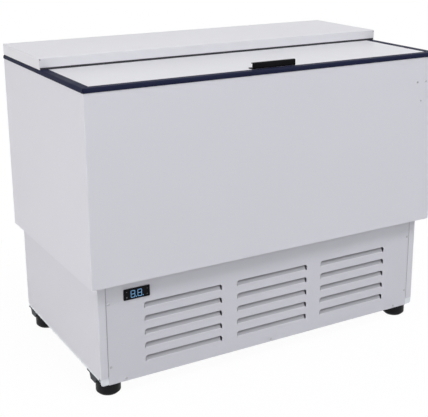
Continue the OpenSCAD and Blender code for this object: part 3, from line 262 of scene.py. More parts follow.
cabinet_paint = surface(
    "cabinet_paint", (0.71, 0.705, 0.755), 0.42, specular=0.32, tone=(1.6, 0.012), smudge=(3, 0.05),
    grain=(420, 0.00001)
)
galvanised = surface(
    "galvanised_sheet", (0.6, 0.61, 0.63), 0.4, metallic=0.85, tone=(90, 0.12), smudge=(70, 0.1),
    grain=(160, 0.00001), cells=True
)
foam = surface(
    "rigid_foam", (0.84, 0.77, 0.5), 0.95, tone=(12, 0.08), smudge=(20, 0.03), grain=(500, 0.0003), cells=True
)
stucco = surface(
    "stucco_aluminium", (0.8, 0.81, 0.82), 0.34, metallic=0.75, tone=(5, 0.04), smudge=(8, 0.08),
    grain=(170, 0.0006), cells=True
)
dress(cabinet_paint, "tank_wrap", "tank_back_panel", "rear_panel")
dress(galvanised, "tank_floor_sheet")
dress(foam, "tank_foam", "hood_foam", "lid_foam")
dress(stucco, "tank_liner", "hood_lining", "lid_lining")

# Rim collar: four bars of dark blue extruded plastic, round along the outer edge, mitred at the corners.
# Each bar clips over the tank's upper edge, and its leg runs down to the liner's flange.
HALF_W, FRONT, REAR = 0.575, -0.314, 0.314
RIM, COLLAR_Z, LEDGE = 0.872, 0.860, 0.8447
COLLAR_W, PROUD, LEG = 0.025, 0.0015, 0.008
COLLAR_OUTER_R, COLLAR_INNER_R, COLLAR_EDGE, COLLAR_ANGLE = 0.0062, 0.0012, 0.0004, 33
MITRE_GAP, MITRE_R, MITRE_DEPTH = 0.0013, 0.001, 0.006
AXES = {"x": 0, "y": 1, "z": 2}
NEAR = 1e-5
ALIGNED = 0.9
UP, DOWN = (0, 0, 1), (0, 0, -1)
TO_FRONT, TO_REAR = (0, -1, 0), (0, 1, 0)
TO_LEFT, TO_RIGHT = (-1, 0, 0), (1, 0, 0)


def deselect_all():
    if bpy.context.mode != "OBJECT":
        bpy.ops.object.mode_set(mode="OBJECT")
    bpy.ops.object.select_all(action="DESELECT")


def activate(piece):
    deselect_all()
    piece.select_set(True)
    bpy.context.view_layer.objects.active = piece


def settle(piece):
    """Put a piece's place, turn and size into its mesh."""
    activate(piece)
    bpy.ops.object.transform_apply(location=True, rotation=True, scale=True)


def named(piece, name):
    piece.name = name
    piece.data.name = name
    return piece


def block(name, low, high):
    """A cube between two corners."""
    deselect_all()
    middle = [(a + b) / 2 for a, b in zip(low, high)]
    size = [b - a for a, b in zip(low, high)]
    bpy.ops.mesh.primitive_cube_add(size=1, location=middle, scale=size)
    piece = named(bpy.context.object, name)
    settle(piece)
    return piece


def pick(piece, kind, wanted):
    """Open a piece in edit mode with only the wanted vertices, edges or faces selected."""
    activate(piece)
    bpy.ops.object.mode_set(mode="EDIT")
    bpy.ops.mesh.select_mode(type=kind)
    bpy.ops.mesh.select_all(action="DESELECT")
    shape = bmesh.from_edit_mesh(piece.data)
    items = {"VERT": shape.verts, "EDGE": shape.edges, "FACE": shape.faces}[kind]
    for item in items:
        if wanted(item):
            item.select_set(True)
    shape.select_flush_mode()
    bmesh.update_edit_mesh(piece.data)


def every(item):
    return True


def edge_at(along=None, **wanted):
    """A test for edges whose ends have the given coordinates and, where asked, differ along an axis."""

    def test(edge):
        first, last = (v.co for v in edge.verts)
        if along and abs(first[AXES[along]] - last[AXES[along]]) < NEAR:
            return False
        return all(abs(end[AXES[k]] - value) < NEAR for k, value in wanted.items() for end in (first, last))

    return test


def facing(*directions):
    """A test for faces that look along one of the directions."""

    def test(face):
        return any(face.normal.dot(Vector(way)) > ALIGNED for way in directions)

    return test


def round_edges(piece, wanted, radius, segments):
    pick(piece, "EDGE", wanted)
    bpy.ops.mesh.bevel(offset=radius, segments=segments, affect="EDGES", clamp_overlap=True)
    bpy.ops.object.mode_set(mode="OBJECT")


def modify(piece, kind, **settings):
    activate(piece)
    modifier = piece.modifiers.new(kind.title(), kind)
    for key, value in settings.items():
        setattr(modifier, key, value)
    bpy.ops.object.modifier_apply(modifier=modifier.name)


def shade(piece, angle=42):
    """Shade the piece smooth up to an angle, with its large faces kept flat."""
    activate(piece)
    bpy.ops.object.shade_smooth_by_angle(angle=math.radians(angle))
    modify(piece, "WEIGHTED_NORMAL", weight=50, keep_sharp=True)


def soften(piece, width, segments=2, angle=30):
    """Break the sharp edges, then shade the piece."""
    limit = math.radians(angle)
    modify(piece, "BEVEL", width=width, segments=segments, limit_method="ANGLE", angle_limit=limit)
    shade(piece)


def finish(piece, material, body, slot, *nodes):
    """Give a piece its finish and its body, and hide the CAD solids that it stands for."""
    if material:
        piece.data.materials.clear()
        piece.data.materials.append(material)
    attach(piece, body)
    if nodes:
        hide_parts(*nodes)


def joined(name, pieces):
    deselect_all()
    for piece in pieces:
        piece.select_set(True)
    bpy.context.view_layer.objects.active = pieces[0]
    bpy.ops.object.join()
    return named(bpy.context.object, name)


collar_plastic = surface(
    "collar_plastic", (0.016, 0.019, 0.045), 0.5, specular=0.03, tone=(6, 0.1), smudge=(12, 0.07),
    grain=(1400, 0.00001)
)


def collar_bar(name, length, turn, place, node):
    bar = block(name, (-length / 2 - PROUD, -PROUD, COLLAR_Z), (length / 2 + PROUD, COLLAR_W, RIM))
    pick(bar, "FACE", every)
    bpy.ops.mesh.bisect(plane_co=(0, COLLAR_W - LEG, 0), plane_no=TO_REAR)
    pick(bar, "FACE", lambda face: facing(DOWN)(face) and face.calc_center_median().y > COLLAR_W - LEG)
    bpy.ops.mesh.extrude_region_move(TRANSFORM_OT_translate={"value": (0, 0, LEDGE - COLLAR_Z)})
    bpy.ops.object.mode_set(mode="OBJECT")
    round_edges(bar, edge_at(y=-PROUD, z=RIM), COLLAR_OUTER_R, segments=8)
    round_edges(bar, edge_at(y=COLLAR_W, z=RIM), COLLAR_INNER_R, segments=3)
    soften(bar, COLLAR_EDGE, angle=COLLAR_ANGLE)
    mitre = length / 2 - MITRE_GAP
    for side in (-1, 1):
        pick(bar, "FACE", every)
        bpy.ops.mesh.bisect(
            plane_co=(side * mitre, 0, 0), plane_no=(side, 1, 0), use_fill=True, clear_outer=True
        )
        round_edges(
            bar, lambda edge: all(abs(side * v.co.x + v.co.y - mitre) < NEAR and v.co.z > RIM - MITRE_DEPTH
                                  for v in edge.verts), MITRE_R, segments=2
        )
    shade(bar, angle=COLLAR_ANGLE)
    bar.rotation_euler = (0, 0, math.radians(turn))
    bar.location = place
    settle(bar)
    finish(bar, collar_plastic, "cabinet", "collar_plastic", node)


collar_bar("collar_bar_front", 2 * HALF_W, 0, (0, FRONT, 0), "collar_front")
collar_bar("collar_bar_left", REAR - FRONT, -90, (-HALF_W, 0, 0), "collar_left")
collar_bar("collar_bar_right", REAR - FRONT, 90, (HALF_W, 0, 0), "collar_right")
collar_bar("collar_bar_rear", 2 * HALF_W, 180, (0, REAR, 0), "collar_rear")

# Runners and glides: strips of white nylon. The runners are glued on the liner's flange at the tank's two
# ends, and the glides under the lid slide on them.
nylon = surface("nylon", (0.82, 0.82, 0.79), 0.5, tone=(8, 0.04), smudge=(10, 0.06), grain=(1800, 0.00001))
dress(nylon, "lid_runner_left", "lid_runner_right", "lid_glides")

# Seals: soft black rubber. A strip along the hood's front edge wipes the lid as it slides back, and a lip
# closes the gap under the lid's front.
seal_rubber = surface(
    "seal_rubber", (0.045, 0.045, 0.05), 0.72, specular=0.2, tone=(30, 0.15), smudge=(20, 0.08),
    grain=(2200, 0.00004), sheen=0.1
)
dress(seal_rubber, "hood_wiper", "lid_front_seal")

# Lid: a flat sandwich whose painted top sheet is folded down on all four sides.
# It lies level with the collar and slides back under the hood.
LID_X, LID_Y0, LID_Y1 = 0.549, -0.288, 0.0175
LID_TOP, LID_UNDER = 0.871, 0.850
LID_SHEET, LID_CORNER_R, LID_FOLD_R = 0.001, 0.004, 0.0018
lid_paint = surface(
    "lid_paint", (0.78, 0.777, 0.805), 0.4, specular=0.32, tone=(1.6, 0.01), smudge=(2.5, 0.06),
    grain=(420, 0.000008)
)
lid = block("lid_top_sheet", (-LID_X, LID_Y0, LID_UNDER), (LID_X, LID_Y1, LID_TOP))
pick(lid, "FACE", facing(DOWN))
bpy.ops.mesh.delete(type="FACE")
bpy.ops.object.mode_set(mode="OBJECT")
round_edges(lid, edge_at(along="z"), LID_CORNER_R, segments=5)
round_edges(lid, edge_at(z=LID_TOP), LID_FOLD_R, segments=4)
modify(lid, "SOLIDIFY", thickness=LID_SHEET, offset=-1)
shade(lid)
finish(lid, lid_paint, "lid", "lid_paint", "lid_skin")

# Lid handle: a channel of pressed sheet, painted black and open to the rear.
# It stands at the middle of the lid's front edge and is screwed down through its foot.
HANDLE_X, HANDLE_Y0, HANDLE_H, HANDLE_T = 0.0705, -0.2865, 0.018, 0.0025
HANDLE_FOOT, HANDLE_LIP, HANDLE_FOLD_R, HANDLE_EDGE = 0.022, 0.008, 0.003, 0.0006
handle_black = surface(
    "handle_black", (0.0045, 0.0042, 0.0055), 0.42, specular=0.08, tone=(20, 0.2), smudge=(14, 0.08),
    grain=(1500, 0.00002)
)
handle = block("lid_handle_channel", (-HANDLE_X, HANDLE_Y0, LID_TOP),
               (HANDLE_X, HANDLE_Y0 + HANDLE_FOOT, LID_TOP + HANDLE_H))
pick(handle, "FACE", facing(TO_REAR, TO_LEFT, TO_RIGHT))
bpy.ops.mesh.delete(type="FACE")
pick(handle, "VERT", lambda v: v.co.z > LID_TOP + NEAR and v.co.y > HANDLE_Y0 + NEAR)
bpy.ops.transform.translate(value=(0, HANDLE_LIP - HANDLE_FOOT, 0))
bpy.ops.object.mode_set(mode="OBJECT")
round_edges(handle, edge_at(along="x", y=HANDLE_Y0), HANDLE_FOLD_R, segments=5)
modify(handle, "SOLIDIFY", thickness=HANDLE_T, offset=-1)
soften(handle, HANDLE_EDGE, segments=3)
finish(handle, handle_black, "lid", "handle_black", "lid_handle")

# Handle screws: zinc-plated pan heads with a cross recess, driven down through the handle's foot.
# One screw is modelled for each length, and the others are copies of it.
HEAD_R, HEAD_T, HEAD_DOME = 0.0036, 0.0014, 0.00098
SHANK_R, SHANK_TIP, SHANK_UP = 0.002, 0.0008, 0.0002
RECESS_L, RECESS_W, RECESS_DEPTH = 0.0042, 0.0009, 0.0009
HANDLE_SCREW_L, HANDLE_SCREW_X = 0.012, HANDLE_X - 0.016
HANDLE_SCREW_Y = HANDLE_Y0 + (HANDLE_LIP + HANDLE_FOOT) / 2
zinc = surface(
    "zinc_plating", (0.5, 0.5, 0.52), 0.42, metallic=0.7, tone=(300, 0.1), smudge=(200, 0.1),
    grain=(2500, 0.00002)
)


def cut_away(piece, cutter):
    modify(piece, "BOOLEAN", operation="DIFFERENCE", object=cutter, solver="EXACT")
    bpy.data.objects.remove(cutter, do_unlink=True)


def rod(name, radius, low, high, sides=24):
    deselect_all()
    middle = (0, 0, (low + high) / 2)
    bpy.ops.mesh.primitive_cylinder_add(vertices=sides, radius=radius, depth=high - low, location=middle)
    piece = named(bpy.context.object, name)
    settle(piece)
    return piece


def pan_head_screw(shank):
    head = rod("screw_head", HEAD_R, 0, HEAD_T)
    round_edges(head, edge_at(z=HEAD_T), HEAD_DOME, segments=4)
    for turn in (0, 90):
        arm = block("recess", (-RECESS_L / 2, -RECESS_W / 2, HEAD_T - RECESS_DEPTH),
                    (RECESS_L / 2, RECESS_W / 2, HEAD_T + RECESS_DEPTH))
        arm.rotation_euler = (0, 0, math.radians(turn))
        settle(arm)
        cut_away(head, arm)
    stem = rod("screw_stem", SHANK_R, -shank, SHANK_UP, sides=16)
    round_edges(stem, edge_at(z=-shank), SHANK_TIP, segments=2)
    screw = joined("screw", [head, stem])
    shade(screw)
    return screw


def copies_of(model, name, places):
    """Own-mesh copies of a model whose axis is Z, each turned to a direction, joined into one piece."""
    copies = []
    for place, direction in places:
        copy = model.copy()
        copy.data = model.data.copy()
        bpy.context.collection.objects.link(copy)
        copy.rotation_euler = Vector(direction).to_track_quat("Z", "Y").to_euler()
        copy.location = place
        settle(copy)
        copies.append(copy)
    bpy.data.objects.remove(model, do_unlink=True)
    return joined(name, copies)


handle_screws = copies_of(
    pan_head_screw(HANDLE_SCREW_L), "lid_handle_screws",
    [((side * HANDLE_SCREW_X, HANDLE_SCREW_Y, LID_TOP + HANDLE_T), UP) for side in (-1, 1)]
)
finish(handle_screws, zinc, "lid", "fastener_steel", "handle_screws")

# Hood: one painted sheet folded into a shallow box over the rear half, open underneath.
# Its front edge is hemmed inward above the wiper. Each front corner has a seam under a relief hole, and a
# black rubber disc sunk in the hole is painted shade for the hole's depth. Three screws hold the rear.
HOOD_Y0, HOOD_TOP, HOOD_LIP = -0.0045, 0.904, 0.877
HOOD_HEM, SHEET, HOOD_FOLD_R, HEM_R = 0.0112, 0.0012, 0.002, 0.0016
RELIEF_R, RELIEF_DEPTH, RELIEF_IN, RELIEF_DOWN = 0.0016, 0.004, 0.0024, 0.0046
SEAM_W, SEAM_IN, SEAM_PAST, SEAM_DEPTH, SEAM_TOP = 0.0005, 0.0003, 0.002, SHEET * 0.6, HOOD_TOP - 0.005
# Painted shade in the relief holes: black rubber discs, sunk a little behind the hood's front.
HOLE_SHADE_SUNK, HOLE_SHADE_BACK, HOLE_SHADE_EDGE = 0.0003, 0.0009, 0.0002
HOOD_SCREW_L, HOOD_SCREW_X, HOOD_SCREW_Z = 0.0068, 0.431, RIM + 0.009
hood = block("hood_folded_sheet", (-HALF_W, HOOD_Y0, RIM), (HALF_W, REAR, HOOD_TOP))
pick(hood, "FACE", facing(DOWN))
bpy.ops.mesh.delete(type="FACE")
pick(hood, "FACE", facing(TO_FRONT))
bpy.ops.mesh.bisect(plane_co=(0, 0, HOOD_LIP), plane_no=UP)
pick(hood, "FACE", lambda face: facing(TO_FRONT)(face) and face.calc_center_median().z < HOOD_LIP)
bpy.ops.mesh.delete(type="FACE")
pick(hood, "EDGE", edge_at(y=HOOD_Y0, z=HOOD_LIP))
bpy.ops.mesh.extrude_region_move(TRANSFORM_OT_translate={"value": (0, HOOD_HEM, 0)})
bpy.ops.object.mode_set(mode="OBJECT")
round_edges(hood, edge_at(z=HOOD_TOP), HOOD_FOLD_R, segments=4)
round_edges(hood, edge_at(y=HOOD_Y0, z=HOOD_LIP), HEM_R, segments=3)
modify(hood, "SOLIDIFY", thickness=SHEET, offset=-1)


def across_hood_front(name, side, low, high):
    """A short rod along Y at the relief hole's place, from a distance low to high behind the front."""
    piece = rod(name, RELIEF_R, low, high, sides=16)
    piece.rotation_euler = (-math.pi / 2, 0, 0)
    piece.location = (side * (HALF_W - RELIEF_IN), HOOD_Y0, HOOD_TOP - RELIEF_DOWN)
    settle(piece)
    return piece


for side in (-1, 1):
    cut_away(hood, across_hood_front("relief", side, -RELIEF_DEPTH, RELIEF_DEPTH))
    seam_x = side * (HALF_W - SHEET - SEAM_IN)
    cut_away(hood, block("seam", (seam_x - SEAM_W / 2, HOOD_Y0 - SEAM_PAST, HOOD_LIP - SEAM_PAST),
                         (seam_x + SEAM_W / 2, HOOD_Y0 + SEAM_DEPTH, SEAM_TOP)))
hood_paint = surface(
    "hood_paint", (0.77, 0.765, 0.8), 0.42, specular=0.32, tone=(1.6, 0.012), smudge=(3, 0.05),
    grain=(420, 0.00001)
)
hood.data.materials.append(hood_paint)
shade(hood)
hood_with_hole_shades = [hood]
# Painted shade: a black disc in each relief hole stands for the shade inside the hole.
for side in (-1, 1):
    hole_shade = across_hood_front("hole_shade", side, HOLE_SHADE_SUNK, HOLE_SHADE_BACK)
    soften(hole_shade, HOLE_SHADE_EDGE)
    hole_shade.data.materials.append(seal_rubber)
    hood_with_hole_shades.append(hole_shade)
hood = joined("hood_folded_sheet", hood_with_hole_shades)
finish(hood, None, "cabinet", "cabinet_paint", "hood_shell")
hood_screws = copies_of(
    pan_head_screw(HOOD_SCREW_L), "hood_rear_screws",
    [((x, REAR, HOOD_SCREW_Z), TO_REAR) for x in (-HOOD_SCREW_X, 0, HOOD_SCREW_X)]
)
finish(hood_screws, zinc, "cabinet", "fastener_steel", "hood_screws")

# Bottle opener fixing: three steel rivet nuts pressed into the tank's front before it is painted.
# Each has a flange that stands slightly proud and a countersunk bore with its thread.
INSERT_X, INSERT_Z, INSERT_PITCH, INSERT_DROP = 0.5165, 0.786, 0.033, 0.059
BORE_R, BODY_R, FLANGE_R, FLANGE_T, INSERT_L = 0.0021, 0.0035, 0.005, 0.0008, 0.012
THREAD_H, THREAD_STEP, THREAD_POINTS = 0.0003, 0.0004, 28
COUNTERSINK, EASE = 0.0005, 0.0001


def spun(name, outline, steps):
    """A turned piece: the outline of (radius, height) points is drawn edge by edge and spun round Z."""
    deselect_all()
    bpy.ops.mesh.primitive_plane_add(size=0.001, location=(0, 0, 0))
    piece = named(bpy.context.object, name)
    bpy.ops.object.mode_set(mode="EDIT")
    bpy.ops.mesh.select_mode(type="VERT")
    bpy.ops.mesh.select_all(action="SELECT")
    bpy.ops.mesh.merge(type="CENTER")
    bpy.ops.mesh.select_all(action="SELECT")
    bpy.ops.transform.translate(value=(outline[0][0], 0, outline[0][1]))
    for (r0, z0), (r1, z1) in zip(outline, outline[1:]):
        bpy.ops.mesh.extrude_vertices_move(TRANSFORM_OT_translate={"value": (r1 - r0, 0, z1 - z0)})
    bpy.ops.mesh.select_all(action="SELECT")
    bpy.ops.mesh.spin(steps=steps, angle=2 * math.pi, center=(0, 0, 0), axis=UP)
    bpy.ops.mesh.select_all(action="SELECT")
    bpy.ops.mesh.remove_doubles(threshold=2e-6)
    bpy.ops.mesh.normals_make_consistent(inside=False)
    bpy.ops.object.mode_set(mode="OBJECT")
    return piece


thread = [
    (BORE_R + THREAD_H * (i % 2), THREAD_STEP * (i + 0.5) - INSERT_L) for i in reversed(range(THREAD_POINTS))
]
insert = spun("insert", [
    (BORE_R, -INSERT_L), (BODY_R, -INSERT_L), (BODY_R, -2 * EASE), (FLANGE_R - EASE, 0), (FLANGE_R, 2 * EASE),
    (FLANGE_R - 3 * EASE, FLANGE_T - EASE), (FLANGE_R - 6 * EASE, FLANGE_T),
    (BORE_R + THREAD_H + COUNTERSINK, FLANGE_T), (BORE_R + THREAD_H, FLANGE_T - COUNTERSINK),
    *thread, (BORE_R, -INSERT_L)
], steps=28)
shade(insert, angle=35)
insert.data.materials.append(cabinet_paint)
insert.data.materials.append(zinc)
for face in insert.data.polygons:
    bare = face.center.xy.length < BORE_R + THREAD_H + COUNTERSINK - EASE or face.center.z < 0
    face.material_index = 1 if bare else 0
inserts = copies_of(insert, "opener_rivet_nuts", [
    ((INSERT_X - INSERT_PITCH / 2, FRONT, INSERT_Z), TO_FRONT),
    ((INSERT_X + INSERT_PITCH / 2, FRONT, INSERT_Z), TO_FRONT),
    ((INSERT_X, FRONT, INSERT_Z - INSERT_DROP), TO_FRONT),
])
finish(inserts, None, "cabinet", "fastener_steel", "opener_inserts")

# Tank fittings: a floor rack of wire coated in white plastic, a moulded drain pipe, and the evaporator with
# its fan behind a painted sheet cover on the rear wall. The solids have their true shapes, so they stay.
coated_wire = surface(
    "coated_wire", (0.8, 0.8, 0.79), 0.25, coat=0.4, tone=(30, 0.05), smudge=(30, 0.08), grain=(700, 0.00002)
)
white_plastic = surface(
    "drain_plastic", (0.76, 0.76, 0.75), 0.45, tone=(14, 0.04), smudge=(20, 0.05), grain=(1500, 0.00001)
)
cover_paint = surface(
    "evaporator_cover_paint", (0.72, 0.73, 0.75), 0.38, coat=0.15, tone=(4, 0.02), smudge=(6, 0.06),
    grain=(420, 0.00001)
)
fin_metal = surface(
    "fin_aluminium", (0.7, 0.72, 0.74), 0.36, metallic=0.9, tone=(60, 0.08), smudge=(40, 0.1),
    grain=(600, 0.00003), stretch=(1, 1, 6)
)
fan_metal = surface(
    "fan_aluminium", (0.5, 0.51, 0.53), 0.52, metallic=0.55, tone=(40, 0.08), smudge=(25, 0.08),
    grain=(900, 0.00002), stretch=(1, 8, 1)
)
motor_paint = surface(
    "motor_paint", (0.05, 0.05, 0.055), 0.5, tone=(25, 0.2), smudge=(20, 0.08), grain=(700, 0.00004)
)
dress(coated_wire, "floor_rack")
dress(white_plastic, "drain_pipe")
dress(cover_paint, "evaporator_cover")
dress(fin_metal, "evaporator_coil")
dress(fan_metal, "evaporator_fan_blade")
dress(motor_paint, "evaporator_fan_motor")

# Fan guard: five rings of chromed wire on four spokes, fixed over the opening in the evaporator's cover.
# It keeps bottles and fingers off the blades.
GUARD_PLACE = (-0.3, 0.1625, 0.7007)
RINGS, RING_WIRE_R = (0.018, 0.034, 0.05, 0.066, 0.08), 0.001
SPOKES, SPOKE_WIRE_R, SPOKE_FROM, SPOKE_TO = 4, 0.0013, 0.014, 0.082
chromed_wire = surface(
    "chromed_wire", (0.7, 0.71, 0.73), 0.18, metallic=1.0, tone=(50, 0.05), smudge=(60, 0.08),
    grain=(600, 0.00001)
)
guard_wires = []
for ring in RINGS:
    deselect_all()
    bpy.ops.mesh.primitive_torus_add(
        major_radius=ring, minor_radius=RING_WIRE_R, major_segments=48, minor_segments=8
    )
    guard_wires.append(bpy.context.object)
for i in range(SPOKES):
    spoke = rod("spoke", SPOKE_WIRE_R, SPOKE_FROM, SPOKE_TO, sides=8)
    spoke.rotation_euler = (0, math.pi / 2, 2 * math.pi * (i + 0.5) / SPOKES)
    settle(spoke)
    guard_wires.append(spoke)
guard = joined("evaporator_fan_guard", guard_wires)
guard.rotation_euler = (math.pi / 2, 0, 0)
guard.location = GUARD_PLACE
settle(guard)
shade(guard, angle=60)
finish(guard, chromed_wire, "cabinet", "fastener_steel")

# Side panels of the base: painted sheet with rounded folds and a flange at the front and rear.
# A strap behind each front flange takes the front panel's screws. Its dark grey is painted shade for the gap
# between the flange and the front panel, where it shows through.
BASE_X, BASE_Y0, BASE_Y1, SIDE_Z, TANK_Z = 0.549, -0.284, 0.314, 0.0608, 0.339
FLANGE, SIDE_FOLD_R, SIDE_EDGE = 0.023, 0.003, 0.0003
STRAP, STRAP_GAP, STRAP_UP, STRAP_DOWN = 0.016, 0.0001, 0.004, 0.006
base_paint = surface(
    "base_paint", (0.675, 0.67, 0.72), 0.44, specular=0.32, tone=(2.2, 0.015), smudge=(4, 0.05),
    grain=(420, 0.00001)
)
# Painted shade: the strap is darker than the paint, so that the gap it shows through reads as shade.
strap_shade_grey = surface(
    "strap_shade_grey", (0.36, 0.36, 0.385), 0.6, specular=0.3, tone=(40, 0.1), smudge=(30, 0.06),
    grain=(900, 0.00002)
)


def side_sheet(name, side, node):
    sheet = block(name, (-BASE_X, BASE_Y0, SIDE_Z), (-BASE_X + FLANGE, BASE_Y1, TANK_Z))
    pick(sheet, "FACE", facing(TO_RIGHT, DOWN))
    bpy.ops.mesh.delete(type="FACE")
    round_edges(sheet, edge_at(along="z", x=-BASE_X), SIDE_FOLD_R, segments=5)
    modify(sheet, "SOLIDIFY", thickness=SHEET, offset=-1)
    strap_y = BASE_Y0 + SHEET + STRAP_GAP
    strap = block("strap", (-BASE_X + FLANGE - STRAP / 4, strap_y, SIDE_Z + STRAP_UP),
                  (-BASE_X + FLANGE + STRAP, strap_y + SHEET, TANK_Z - STRAP_DOWN))
    sheet.data.materials.append(base_paint)
    strap.data.materials.append(strap_shade_grey)
    sheet = joined(name, [sheet, strap])
    soften(sheet, SIDE_EDGE)
    if side > 0:
        activate(sheet)
        sheet.scale = (-1, 1, 1)
        settle(sheet)
        pick(sheet, "FACE", every)
        bpy.ops.mesh.flip_normals()
        bpy.ops.object.mode_set(mode="OBJECT")
        shade(sheet)
    finish(sheet, None, "cabinet", "cabinet_paint", node)


side_sheet("base_side_left", -1, "side_panel_left")
side_sheet("base_side_right", 1, "side_panel_right")

# Front panel: one painted sheet with fifteen pressed louvres in three groups, folded back along its top.
# Each vane is cut on three sides and pressed inward about its lower edge, and the pressed part is darkened
# with painted shade.
PANEL_X, PANEL_Z0, PANEL_Z1, PANEL_RETURN, RETURN_SHORT = 0.5242, 0.039, 0.3358, 0.010, 0.02
PANEL_EDGE, PANEL_ANGLE = 0.00035, 40
LOUVRE_W, LOUVRE_H, LOUVRE_STEP_X, LOUVRE_STEP_Z, LOUVRE_TOP = 0.245, 0.017, 0.2955, 0.040, 0.2605
LOUVRE_COLUMNS, LOUVRE_ROWS, LOUVRE_SHIFT = (-1, 0, 1), 5, 0.005
LOUVRE_R, CUT_PAST = LOUVRE_H * 0.45, 0.002
VANE_LEFT, VANE_RIGHT, VANE_Y, VANE_T = 0.0022, 0.004, 0.0001, 0.001
VANE_FOOT, VANE_FOLD, VANE_FOLD_R, VANE_TOP, VANE_TILT = 0.0006, 0.0004, 0.0004, LOUVRE_H * 1.04, 30
# Painted shade in the louvres: from the first depth behind the panel's face to the second, the paint darkens
# to the given tone.
PAINTED_SHADE_FROM, PAINTED_SHADE_FULL, PAINTED_SHADE_TONE = 0.0005, 0.0014, 0.62
panel = block("louvred_front_panel", (-PANEL_X, BASE_Y0, PANEL_Z0), (PANEL_X, BASE_Y0 + SHEET, PANEL_Z1))
lip_x = PANEL_X - RETURN_SHORT
lip = block("top_return", (-lip_x, BASE_Y0, PANEL_Z1 - SHEET), (lip_x, BASE_Y0 + PANEL_RETURN, PANEL_Z1))
windows, vanes = [], []
for column in LOUVRE_COLUMNS:
    for row in range(LOUVRE_ROWS):
        x0 = LOUVRE_SHIFT + column * LOUVRE_STEP_X - LOUVRE_W / 2
        z0 = LOUVRE_TOP - LOUVRE_H - row * LOUVRE_STEP_Z
        window = block("window", (x0, BASE_Y0 - CUT_PAST, z0),
                       (x0 + LOUVRE_W, BASE_Y0 + SHEET + CUT_PAST, z0 + LOUVRE_H))
        round_edges(window, edge_at(along="y", z=z0 + LOUVRE_H), LOUVRE_R, segments=6)
        windows.append(window)
        vane = block("vane", (x0 + VANE_LEFT, BASE_Y0 + VANE_Y, z0 - VANE_FOOT),
                     (x0 + LOUVRE_W - VANE_RIGHT, BASE_Y0 + VANE_Y + VANE_T, z0 + VANE_TOP))
        pick(vane, "FACE", every)
        bpy.ops.mesh.bisect(plane_co=(0, 0, z0 + VANE_FOLD), plane_no=UP)
        pick(vane, "VERT", lambda v: v.co.z > z0 + VANE_FOLD + NEAR)
        pivot = (x0, BASE_Y0 + VANE_Y + VANE_T / 2, z0 + VANE_FOLD)
        bpy.ops.transform.rotate(value=math.radians(VANE_TILT), orient_axis="X", center_override=pivot)
        bpy.ops.object.mode_set(mode="OBJECT")
        round_edges(vane, edge_at(along="x", z=z0 + VANE_FOLD), VANE_FOLD_R, segments=2)
        vanes.append(vane)
cut_away(panel, joined("windows", windows))
panel = joined("louvred_front_panel", [panel, lip] + vanes)
soften(panel, PANEL_EDGE, angle=PANEL_ANGLE)
# The front panel's paint is a little darker than the side panels' and carries the louvres' painted shade.
panel_paint = surface(
    "panel_paint", (0.645, 0.64, 0.69), 0.44, specular=0.32, tone=(2.2, 0.015), smudge=(4, 0.05),
    grain=(420, 0.00001), painted_shade=(BASE_Y0 + PAINTED_SHADE_FROM, BASE_Y0 + PAINTED_SHADE_FULL, PAINTED_SHADE_TONE)
)
finish(panel, panel_paint, "cabinet", "cabinet_paint", "front_panel")

# Panel screws: pan heads along the front panel's sides and lower edge, and down the rear panel's sides.
# They are zinc-plated like the handle's, and go into the straps, the flanges and the base pan.
PANEL_SCREW_L, PANEL_SCREW_X, REAR_SCREW_X = 0.008, PANEL_X - 0.007, BASE_X - FLANGE / 2
SCREW_LOW, SCREW_HIGH = 0.092, 0.277
FOOT_SCREW_X, FOOT_SCREW_Z = 0.473, 0.0475
screw_places = []
for side in (-1, 1):
    for z in (SCREW_LOW, SCREW_HIGH):
        screw_places.append(((side * PANEL_SCREW_X, BASE_Y0, z), TO_FRONT))
        screw_places.append(((side * REAR_SCREW_X, BASE_Y1, z), TO_REAR))
for x in (-FOOT_SCREW_X, 0, FOOT_SCREW_X):
    screw_places.append(((x, BASE_Y0, FOOT_SCREW_Z), TO_FRONT))
panel_screws = copies_of(pan_head_screw(PANEL_SCREW_L), "base_panel_screws", screw_places)
finish(panel_screws, zinc, "cabinet", "fastener_steel", "panel_screws")

# Base pan and foot brackets: the pan is bright galvanised sheet whose front lip hangs behind the front panel.
# The brackets are thick plates in dark paint, one over each foot. Both keep their solids.
pan_zinc = surface(
    "pan_zinc", (0.76, 0.79, 0.82), 0.5, metallic=0.15, tone=(80, 0.06), smudge=(60, 0.08),
    grain=(160, 0.00001), cells=True
)
bracket_paint = surface(
    "bracket_paint", (0.022, 0.026, 0.034), 0.5, specular=0.15, tone=(25, 0.15), smudge=(18, 0.1),
    grain=(900, 0.00003)
)
dress(pan_zinc, "base_pan")
dress(bracket_paint, "foot_brackets")

# Bracket bolts: black hexagon bolts down through the pan and each bracket, with a washer and a nut under it.
# One bolt is modelled, and the others are copies of it.
FOOT_X, FOOT_FRONT, FOOT_REAR, PAN_TOP, BRACKET_Z = 0.5105, -0.243, 0.251, 0.0535, 0.049
HEXAGON_R, HEXAGON_H, BOLT_R, BOLT_EDGE = 0.006, 0.004, 0.003, 0.0004
WASHER_T, NUT_LOW, BOLT_LOW, HEAD_SEAT = 0.0008, 0.007, 0.0125, 0.001
BOLT_OUT, BOLT_BACK = 0.026, 0.049
bolt_black = surface(
    "bolt_black", (0.01, 0.01, 0.012), 0.45, specular=0.12, tone=(60, 0.2), smudge=(60, 0.1),
    grain=(1500, 0.00003)
)
bolt_nut = rod("bolt_nut", HEXAGON_R, BRACKET_Z - NUT_LOW, BRACKET_Z - WASHER_T, sides=6)
washer = rod("washer", HEXAGON_R, BRACKET_Z - WASHER_T, BRACKET_Z, sides=32)
bolt_shank = rod("bolt_shank", BOLT_R, BRACKET_Z - BOLT_LOW, PAN_TOP + HEAD_SEAT, sides=16)
bolt_head = rod("bolt_head", HEXAGON_R, PAN_TOP, PAN_TOP + HEXAGON_H, sides=6)
